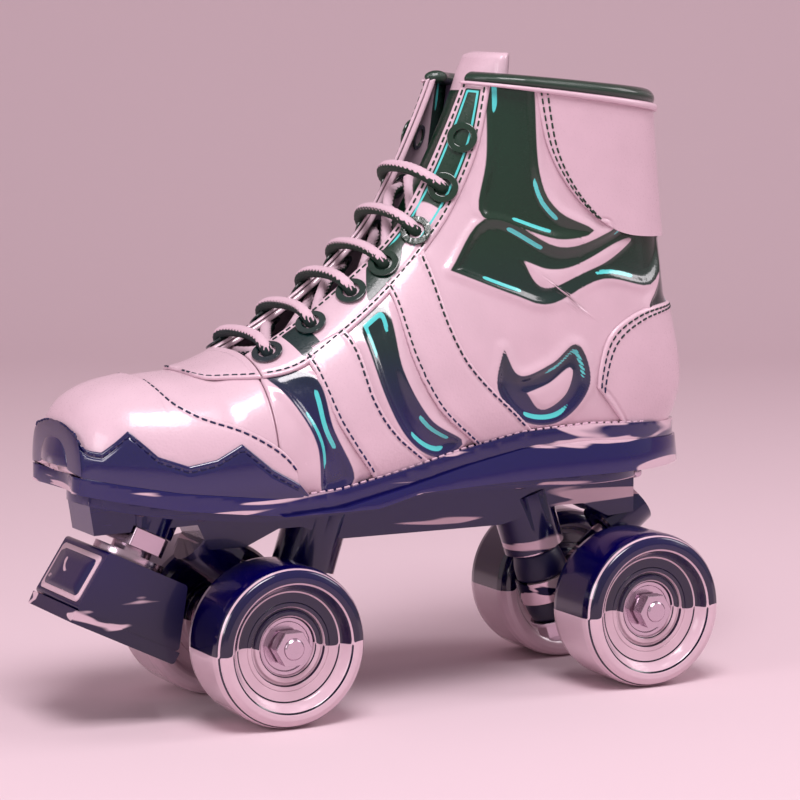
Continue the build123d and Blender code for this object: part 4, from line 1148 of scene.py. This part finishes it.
def puff(piece: bpy.types.Object, held: Array, most_mm: float = 2.2) -> None:
    """Fill a padded piece with air in the cloth solver, held along its stitched border.

    Args:
        piece: The closed piece.
        held: Whether each grid point stays where it is.
        most_mm: The furthest any point may move.
    """
    if held.size != len(piece.data.vertices):
        return
    group = piece.vertex_groups.new(name="held")
    group.add(np.flatnonzero(held.ravel()).tolist(), 1.0, "REPLACE")
    cloth = piece.modifiers.new("filling", "CLOTH")
    cloth.settings.quality = 6
    cloth.settings.use_pressure = True
    cloth.settings.uniform_pressure_force = 4.0
    cloth.settings.vertex_group_mass = "held"
    cloth.settings.effector_weights.gravity = 0.0
    cloth.collision_settings.use_collision = False
    cloth.point_cache.frame_start = 1
    cloth.point_cache.frame_end = 20
    rest = np.empty(3 * held.size)
    piece.data.vertices.foreach_get("co", rest)
    for frame_number in range(1, 21):
        bpy.context.scene.frame_set(frame_number)
    settled = piece.evaluated_get(bpy.context.evaluated_depsgraph_get()).to_mesh()
    moved = np.empty(3 * held.size)
    settled.vertices.foreach_get("co", moved)
    shift = np.nan_to_num((moved - rest).reshape(-1, 3))
    size = np.linalg.norm(shift, axis=1, keepdims=True)
    shift *= np.minimum(1.0, most_mm * MM / np.maximum(size, 1e-9))
    piece.modifiers.remove(cloth)
    bpy.context.scene.frame_set(1)
    piece.data.vertices.foreach_set("co", rest + shift.ravel())
    piece.data.update()
    LOG.info("%s filled, moved up to %.2f mm", piece.name, float(size.max()) / MM)


@dataclass
class Padding:
    """The tongue, the padded lining and the bound collar edge."""

    def build(self) -> None:
        """Make the soft pieces."""
        self.tongue()
        for side, name in ((1, "left"), (-1, "right")):
            self.lining(side, name)
        self.binding()

    def tongue(self) -> None:
        """The padded tongue, thick at its top edge, with a stitched border."""
        places = np.linspace(5.9, 16.6, 150)
        edge = np.abs(FORM.turn_at_side(places, 26.0))
        width = np.sqrt(np.clip(1.0 - ((places - 15.4) / 1.25).clip(0, 1) ** 2 * 0.35, 0.2, 1.0))
        place, turn = between_edges(places, -edge * width, edge * width, 70)
        points = FORM.at(place, turn, -9.9)
        ink = np.where(points[..., 2] > 236.0, 0.0, 0.95) * np.ones_like(turn)
        piece = Cut("tongue", PINK, place, turn, -9.9, -14.4, ("tongue",), round_over=2.3, dome=1.2,
                    stitch_inset=4.0, ink=ink)
        made = piece.build()
        border = piece.distance_inside()
        puff(made, np.concatenate([border, np.zeros_like(border)], axis=1) < 5.0)

    def lining(self, side: int, name: str) -> None:
        """One side of the padded lining."""
        places = np.linspace(5.9, FORM.COLLAR, 150)
        start = np.abs(FORM.turn_at_side(places, side * 28.5))
        place, turn = between_edges(places, start, sole_edge(places), 90)
        piece = Cut(f"lining_{name}", LINING, place, side * turn, -2.3, -6.0, (f"lining_{name}",),
                    round_over=1.5, free_first=False, free_end=False, free_last=False, stitch_inset=0.0)
        piece.build()

    def binding(self) -> None:
        """The dark binding over the collar's edge, and the thin pale piping under it."""
        ends = FORM.turn_at_side(np.array([16.08, 16.08]), 14.0)[0]
        opposite = 2 * math.pi + FORM.turn_at_side(np.array([16.08, 16.08]), -14.0)[0]
        turn = np.linspace(ends, opposite, 260)
        self.tube("collar_binding", turn, 16.06, -2.2, 4.3, 0.14, NAVY_BINDING, ("collar_binding",))
        self.tube("collar_piping", turn, 15.93, 2.2, 0.75, 0.045, PLAIN_PINK, ())

    def tube(self, name: str, turn: Array, place: float, grow: float, reach: float, rise: float,
             finish: Finish, replaced: tuple[str, ...]) -> None:
        """A rounded edge along the collar.

        Args:
            name: The piece's name.
            turn: The turns it passes.
            place: The position of its middle.
            grow: The height of its middle over the form.
            reach: Half its thickness across the leather.
            rise: Half its height, as a change of position.
            finish: Its finish.
            replaced: The CAD nodes it stands for.
        """
        around = np.linspace(0, 2 * math.pi, 24, endpoint=False)
        taper = np.sqrt(np.clip(np.minimum(turn - turn[0], turn[-1] - turn) / 0.04, 0.05, 1.0))[:, None]
        points = FORM.at(place + rise * taper * np.sin(around), np.repeat(turn[:, None], 24, axis=1),
                         grow + reach * taper * np.cos(around))
        caps = np.array([[0, i, i + 1, i + 2] for i in range(1, 22, 2)])
        faces = np.concatenate([grid_faces(len(turn), 24, wrap_columns=True), caps,
                                caps + (len(turn) - 1) * 24])
        new_piece(name, points, faces, finish, "boot_and_plate", replaced)


# ---------------------------------------------------------------- wheels
@dataclass
class Wheel:
    """One wheel's tyre and hub, turned from smooth profiles."""

    end: str
    side: int
    axle_x: float

    LINES = ((11.6, 0.25), (15.0, 0.3), (21.0, 0.35), (24.6, 0.4), (29.9, 0.3))
    TYRE = ((17.0, -11.0), (21.0, -11.0), (22.6, -11.6), (24.0, -14.6), (25.2, -15.5), (27.3, -15.5),
            (29.2, -14.6), (30.5, -12.6), (31.0, -10.0), (31.0, 10.0), (30.5, 12.6), (29.2, 14.6),
            (27.3, 15.5), (25.2, 15.5), (24.2, 14.9), (22.9, 12.6), (21.8, 11.0), (20.6, 10.6), (17.0, 10.5))
    HUB = ((11.0, -13.0), (13.2, -13.0), (13.9, -12.4), (14.6, -11.0), (17.0, -11.0), (17.0, 10.4),
           (15.2, 10.4), (14.7, 9.2), (14.0, 9.2), (13.6, 10.2), (12.2, 10.2), (11.4, 9.7), (11.0, 9.2),
           (11.0, 2.0), (8.0, 2.0), (8.0, -6.0), (11.0, -6.0))
    RADIUS = 31.0
    HALF_TRACK = 34.0

    def turned(self, name: str, profile: tuple[tuple[float, float], ...], finish: Finish) -> bpy.types.Object:
        """A ring turned round the axle, with its corners softened.

        Args:
            name: The piece's name, which is also its CAD node.
            profile: Radius and distance outwards from the wheel's middle, all the way round.
            finish: Its finish.

        Returns:
            The new object.
        """
        corners = np.array(profile)
        following = np.roll(corners, -1, axis=0)
        leaving = np.roll(corners, 1, axis=0)
        near = np.minimum(0.35, 0.3 * np.linalg.norm(following - corners, axis=1))[:, None]
        back = np.minimum(0.35, 0.3 * np.linalg.norm(leaving - corners, axis=1))[:, None]
        ahead = corners + near * (following - corners) / np.linalg.norm(following - corners, axis=1)[:, None]
        behind = corners + back * (leaving - corners) / np.linalg.norm(leaving - corners, axis=1)[:, None]
        soft = np.stack([behind, 0.25 * behind + 0.5 * corners + 0.25 * ahead, ahead], axis=1).reshape(-1, 2)
        whole = np.vstack([soft, soft[:1]])
        far = np.concatenate([[0], np.cumsum(np.linalg.norm(np.diff(whole, axis=0), axis=1))])
        even = np.unique(np.concatenate([far[:-1], np.arange(0.0, far[-1], 0.45)]))
        soft = np.stack([np.interp(even, far, whole[:, axis]) for axis in (0, 1)], axis=-1)
        turn = np.linspace(0, 2 * math.pi, 128, endpoint=False)
        points = np.stack([self.axle_x + soft[:, :1] * np.cos(turn),
                           self.side * (self.HALF_TRACK + soft[:, 1:] + 0.0 * turn),
                           self.RADIUS + soft[:, :1] * np.sin(turn)], -1)
        faces = grid_faces(len(soft), 128, wrap_rows=True, wrap_columns=True)
        radius, height = soft[:, :1] + 0.0 * turn, points[..., 2]
        # Painted reflection: dark above the axle and pale below it, the pale half standing for the floor
        # reflected in the glossy wheel; thin rings on the outer face swap the two tones.
        upper = ease(height + 1.1 * np.sin(3.0 * turn + radius / 4.0), 30.4, 31.6)
        lines = sum(np.exp(-((radius - place) / wide) ** 2) for place, wide in self.LINES)
        ink = np.abs(upper - np.clip(lines, 0.0, 1.0) * (soft[:, 1:] > 8.0))
        word = "left" if self.side > 0 else "right"
        return new_piece(name, points, faces, finish, f"{self.end}_{word}_wheel", (name,), ink)

    def build(self) -> None:
        """Make the tyre and the hub."""
        word = "left" if self.side > 0 else "right"
        self.turned(f"{self.end}_{word}_tyre", self.TYRE, URETHANE)
        self.turned(f"{self.end}_{word}_hub", self.HUB, HUB)


# ---------------------------------------------------------------- pieces kept from the CAD
class Hardware:
    """The CAD pieces that stay as they are, rounded along their edges and given a finish."""

    RULES: tuple[tuple[str, Finish, float], ...] = (
        ("eyelets", ENAMEL, 0.25), ("lining_vamp", LINING, 0.0), ("outsole", SOLE_GLOSS, 1.6),
        ("heel_wedge", SOLE_GLOSS, 1.2), ("insole", BOARD, 0.4), ("plate", PLATE_PAINT, 1.1),
        ("hanger", TRUCK_METAL, 0.8), ("cushion", CUSHION, 0.8), ("toe_stop_pad", RUBBER, 0.7),
        ("toe_stop_block", RUBBER, 0.6), ("pivot_cup", CUSHION, 0.3), ("", STEEL, 0.25))

    def __init__(self, frame: dict) -> None:
        """Remember the frame.
        """
        self.nodes: dict[str, bpy.types.Object] = frame["nodes"]

    def build(self) -> None:
        """Round and dress every node that is still shown."""
        for name, node in self.nodes.items():
            if node.hide_render:
                continue
            finish, width = next((rule[1], rule[2]) for rule in self.RULES if rule[0] in name)
            WARDROBE.dress(node, finish)
            if width > 0.0:
                weld = node.modifiers.new("join", "WELD")
                weld.merge_threshold = 1e-5
                bevel = node.modifiers.new("edges", "BEVEL")
                bevel.width = width * MM
                bevel.segments = 3
                bevel.limit_method = "ANGLE"
                bevel.angle_limit = math.radians(35.0)
                bevel.harden_normals = False


@dataclass
class Cushion:
    """A truck's rubber cushion, which bends between the truck and the plate as the truck leans."""

    end: str
    axle_x: float
    facing: int
    word: str
    start: float
    finish_at: float
    wide: float
    narrow: float

    def build(self) -> None:
        """Turn the cushion round the kingpin, attached to no body."""
        lean = math.radians(18.0)
        rise = np.array([-self.facing * math.sin(lean), 0.0, math.cos(lean)])
        ahead = np.array([math.cos(lean), 0.0, self.facing * math.sin(lean)])
        ring = np.array([self.axle_x - self.facing * 22.0, 0.0, 36.0])
        share = np.linspace(0.0, 1.0, 16)
        reach = self.start + (self.finish_at - self.start) * share
        bulge = 0.7 * np.sin(math.pi * share) - 0.6 * (np.abs(share - 0.5) > 0.47)
        outer = self.wide + (self.narrow - self.wide) * share + bulge
        radius = np.concatenate([outer, np.full(16, 5.6)])
        height = np.concatenate([reach, reach[::-1]])
        turn = np.linspace(0, 2 * math.pi, 72, endpoint=False)
        disc = np.cos(turn)[:, None] * ahead + np.sin(turn)[:, None] * np.array([0.0, 1.0, 0.0])
        points = ring + height[:, None, None] * rise + radius[:, None, None] * disc
        name = f"{self.end}_{self.word}_cushion"
        made = new_piece(name, points, grid_faces(32, 72, wrap_rows=True, wrap_columns=True), CUSHION, "",
                         (name,))
        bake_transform(made)


@dataclass
class StopFace:
    """The raised frame on the toe stop's front face: a pale panel with a dark one on it."""

    tilt: float = math.radians(26.0)
    corner: float = 2.2

    def build(self) -> None:
        """Make both panels."""
        self.panel("toe_stop_frame", 2.6, 0.6, STOP_PALE)
        self.panel("toe_stop_inset", 4.6, 0.9, STOP_DARK)

    def panel(self, name: str, inset: float, height: float, finish: Finish) -> None:
        """A rounded panel on the front face.

        Args:
            name: The piece's name.
            inset: How far its edge is inside the face's edge.
            height: How far it stands out.
            finish: Its finish.
        """
        ahead = np.array([math.cos(self.tilt), 0.0, math.sin(self.tilt)])
        rise = np.array([-math.sin(self.tilt), 0.0, math.cos(self.tilt)])
        top = np.array([106.5, 0.0, 60.8]) + 17.5 * ahead
        bottom = np.array([106.5, 0.0, 60.8]) + 20.5 * ahead - 24.3 * rise
        down = (bottom - top) / np.linalg.norm(bottom - top)
        out = np.cross(down, (0.0, 1.0, 0.0))
        out *= np.sign(out @ ahead)
        half_y, half_d = 21.5 - inset, 0.5 * np.linalg.norm(bottom - top) - inset
        turn = np.linspace(0, 2 * math.pi, 48, endpoint=False)
        rim_y = np.clip(np.cos(turn) * 99, -1, 1) * (half_y - self.corner) + self.corner * np.cos(turn)
        rim_d = np.clip(np.sin(turn) * 99, -1, 1) * (half_d - self.corner) + self.corner * np.sin(turn)
        rings = []
        for share, lift in ((0.0, -0.5), (0.5, -0.5), (1.0, -0.5), (1.0, height - 0.25), (0.985, height),
                            (0.5, height), (0.0, height)):
            rim = rim_y[:, None] * (0.0, 1.0, 0.0) + rim_d[:, None] * down
            rings.append(0.5 * (top + bottom) + share * rim + lift * out)
        faces = grid_faces(len(rings), 48, wrap_columns=True)
        new_piece(name, np.array(rings), faces, finish, "toe_stop")


class Welt:
    """The stitching along the edge of the sole."""

    def build(self) -> None:
        """Make the stitches on both sides."""
        places = np.linspace(1.0, 12.2, 200)
        edge = sole_edge(places)
        lines = []
        for side in (1, -1):
            line = FORM.at(places, side * edge, 1.5)
            sole = np.array(sorted(SOLE_LINE))
            line[:, 2] = np.interp(line[:, 0], sole[:, 0], sole[:, 1]) + 0.15
            lines.append(line)
        Thread("welt_stitches", lines, PALE_THREAD, pitch=3.6, length=2.5, radius=0.5).build()


# ---------------------------------------------------------------- studio
@dataclass
class Studio:
    """The pale floor, the soft lights and the camera."""

    ground: tuple[float, float, float] = (0.7, 0.55, 0.6)
    target: tuple[float, float, float] = (-0.0195, 0.0, 0.120)
    azimuth: float = 28.0
    elevation: float = 6.77
    distance: float = 1.2
    lens: float = 136.6

    def build(self) -> None:
        """Make the studio."""
        self.floor()
        self.light("key", (0.3, 0.7, 1.5), 0.7, 22.0)
        self.light("strip", (1.3, 0.3, 0.55), 0.5, 4.0)
        self.light("back", (-1.2, 0.4, 0.9), 0.6, 6.0)
        self.world()
        self.camera()

    def floor(self) -> None:
        """A plain floor that curves up into a backdrop."""
        across = np.linspace(-6.0, 6.0, 3)
        profile = [(4.0, 0.0), (-1.2, 0.0)] + [(-1.2 - 0.8 * math.sin(a), 0.8 - 0.8 * math.cos(a))
                                               for a in np.linspace(0.1, math.pi / 2, 14)] + [(-2.0, 5.0)]
        points = np.array([[(x, y, z) for x in across] for y, z in profile])
        turned = math.radians(-self.azimuth)
        spun = points.copy()
        spun[..., 0] = points[..., 0] * math.cos(turned) - points[..., 1] * math.sin(turned)
        spun[..., 1] = points[..., 0] * math.sin(turned) + points[..., 1] * math.cos(turned)
        mesh = bpy.data.meshes.new("floor")
        mesh.from_pydata(spun.reshape(-1, 3).tolist(), [], grid_faces(len(profile), 3).tolist())
        mesh.polygons.foreach_set("use_smooth", np.ones(len(mesh.polygons), dtype=bool))
        piece = bpy.data.objects.new("floor", mesh)
        bpy.context.scene.collection.objects.link(piece)
        material = bpy.data.materials.new("paper")
        material.use_nodes = True
        shader = material.node_tree.nodes["Principled BSDF"]
        shader.inputs["Base Color"].default_value = (*self.ground, 1)
        shader.inputs["Roughness"].default_value = 0.9
        piece.data.materials.append(material)

    def light(self, name: str, place: tuple[float, float, float], size: float, power: float) -> None:
        """A square soft light aimed at the skate.

        Args:
            name: The light's name.
            place: Where it is, in metres.
            size: Its side.
            power: Its power, in watts.
        """
        data = bpy.data.lights.new(name, "AREA")
        data.size, data.energy, data.color = size, power, (1.0, 0.93, 0.97)
        lamp = bpy.data.objects.new(name, data)
        lamp.location = place
        aim = np.array(self.target) - np.array(place)
        lamp.rotation_euler = aim_angles(aim)
        bpy.context.scene.collection.objects.link(lamp)

    def world(self) -> None:
        """An even pale surround."""
        world = bpy.data.worlds.new("surround")
        world.use_nodes = True
        back = world.node_tree.nodes["Background"]
        back.inputs["Color"].default_value = (0.68, 0.56, 0.6, 1)
        back.inputs["Strength"].default_value = 0.68
        bpy.context.scene.world = world

    def camera(self) -> None:
        """The camera, a little above the sole and round toward the toe."""
        round_z, tilt = math.radians(self.azimuth), math.radians(self.elevation)
        back = np.array([math.sin(round_z) * math.cos(tilt), math.cos(round_z) * math.cos(tilt),
                         math.sin(tilt)])
        place = np.array(self.target) + self.distance * back
        right = np.cross(-back, (0.0, 0.0, 1.0))
        right /= np.linalg.norm(right)
        rise = np.cross(right, -back)
        aim = -back * 3036.0 - right * 20.7 - rise * 13.3
        data = bpy.data.cameras.new("camera")
        data.lens, data.sensor_width = self.lens, 36.0
        eye = bpy.data.objects.new("camera", data)
        eye.location = place
        eye.rotation_euler = aim_angles(aim)
        bpy.context.scene.collection.objects.link(eye)
        bpy.context.scene.camera = eye
        bpy.context.scene.view_settings.view_transform = "Standard"


def aim_angles(direction: Array) -> tuple[float, float, float]:
    """The turns that point an object's -Z along a direction with its Y up."""
    x, y, z = (float(value) for value in direction)
    return (math.atan2(math.hypot(x, y), -z), 0.0, math.atan2(-x, y))


def main() -> None:
    """Build the scene."""
    logging.basicConfig(level=logging.INFO, format="%(message)s")
    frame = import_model()
    Upper().build()
    Lacing().build()
    Padding().build()
    for end, axle_x in (("front", 60.0), ("rear", -99.0)):
        for side in (1, -1):
            Wheel(end, side, axle_x).build()
        facing = 1 if end == "front" else -1
        Cushion(end, axle_x, facing, "upper", 4.62, 15.95, 10.3, 9.0).build()
        Cushion(end, axle_x, facing, "lower", -4.62, -13.45, 10.0, 8.4).build()
    Welt().build()
    StopFace().build()
    Hardware(frame).build()
    Studio().build()


if __name__ == "__main__":
    main()
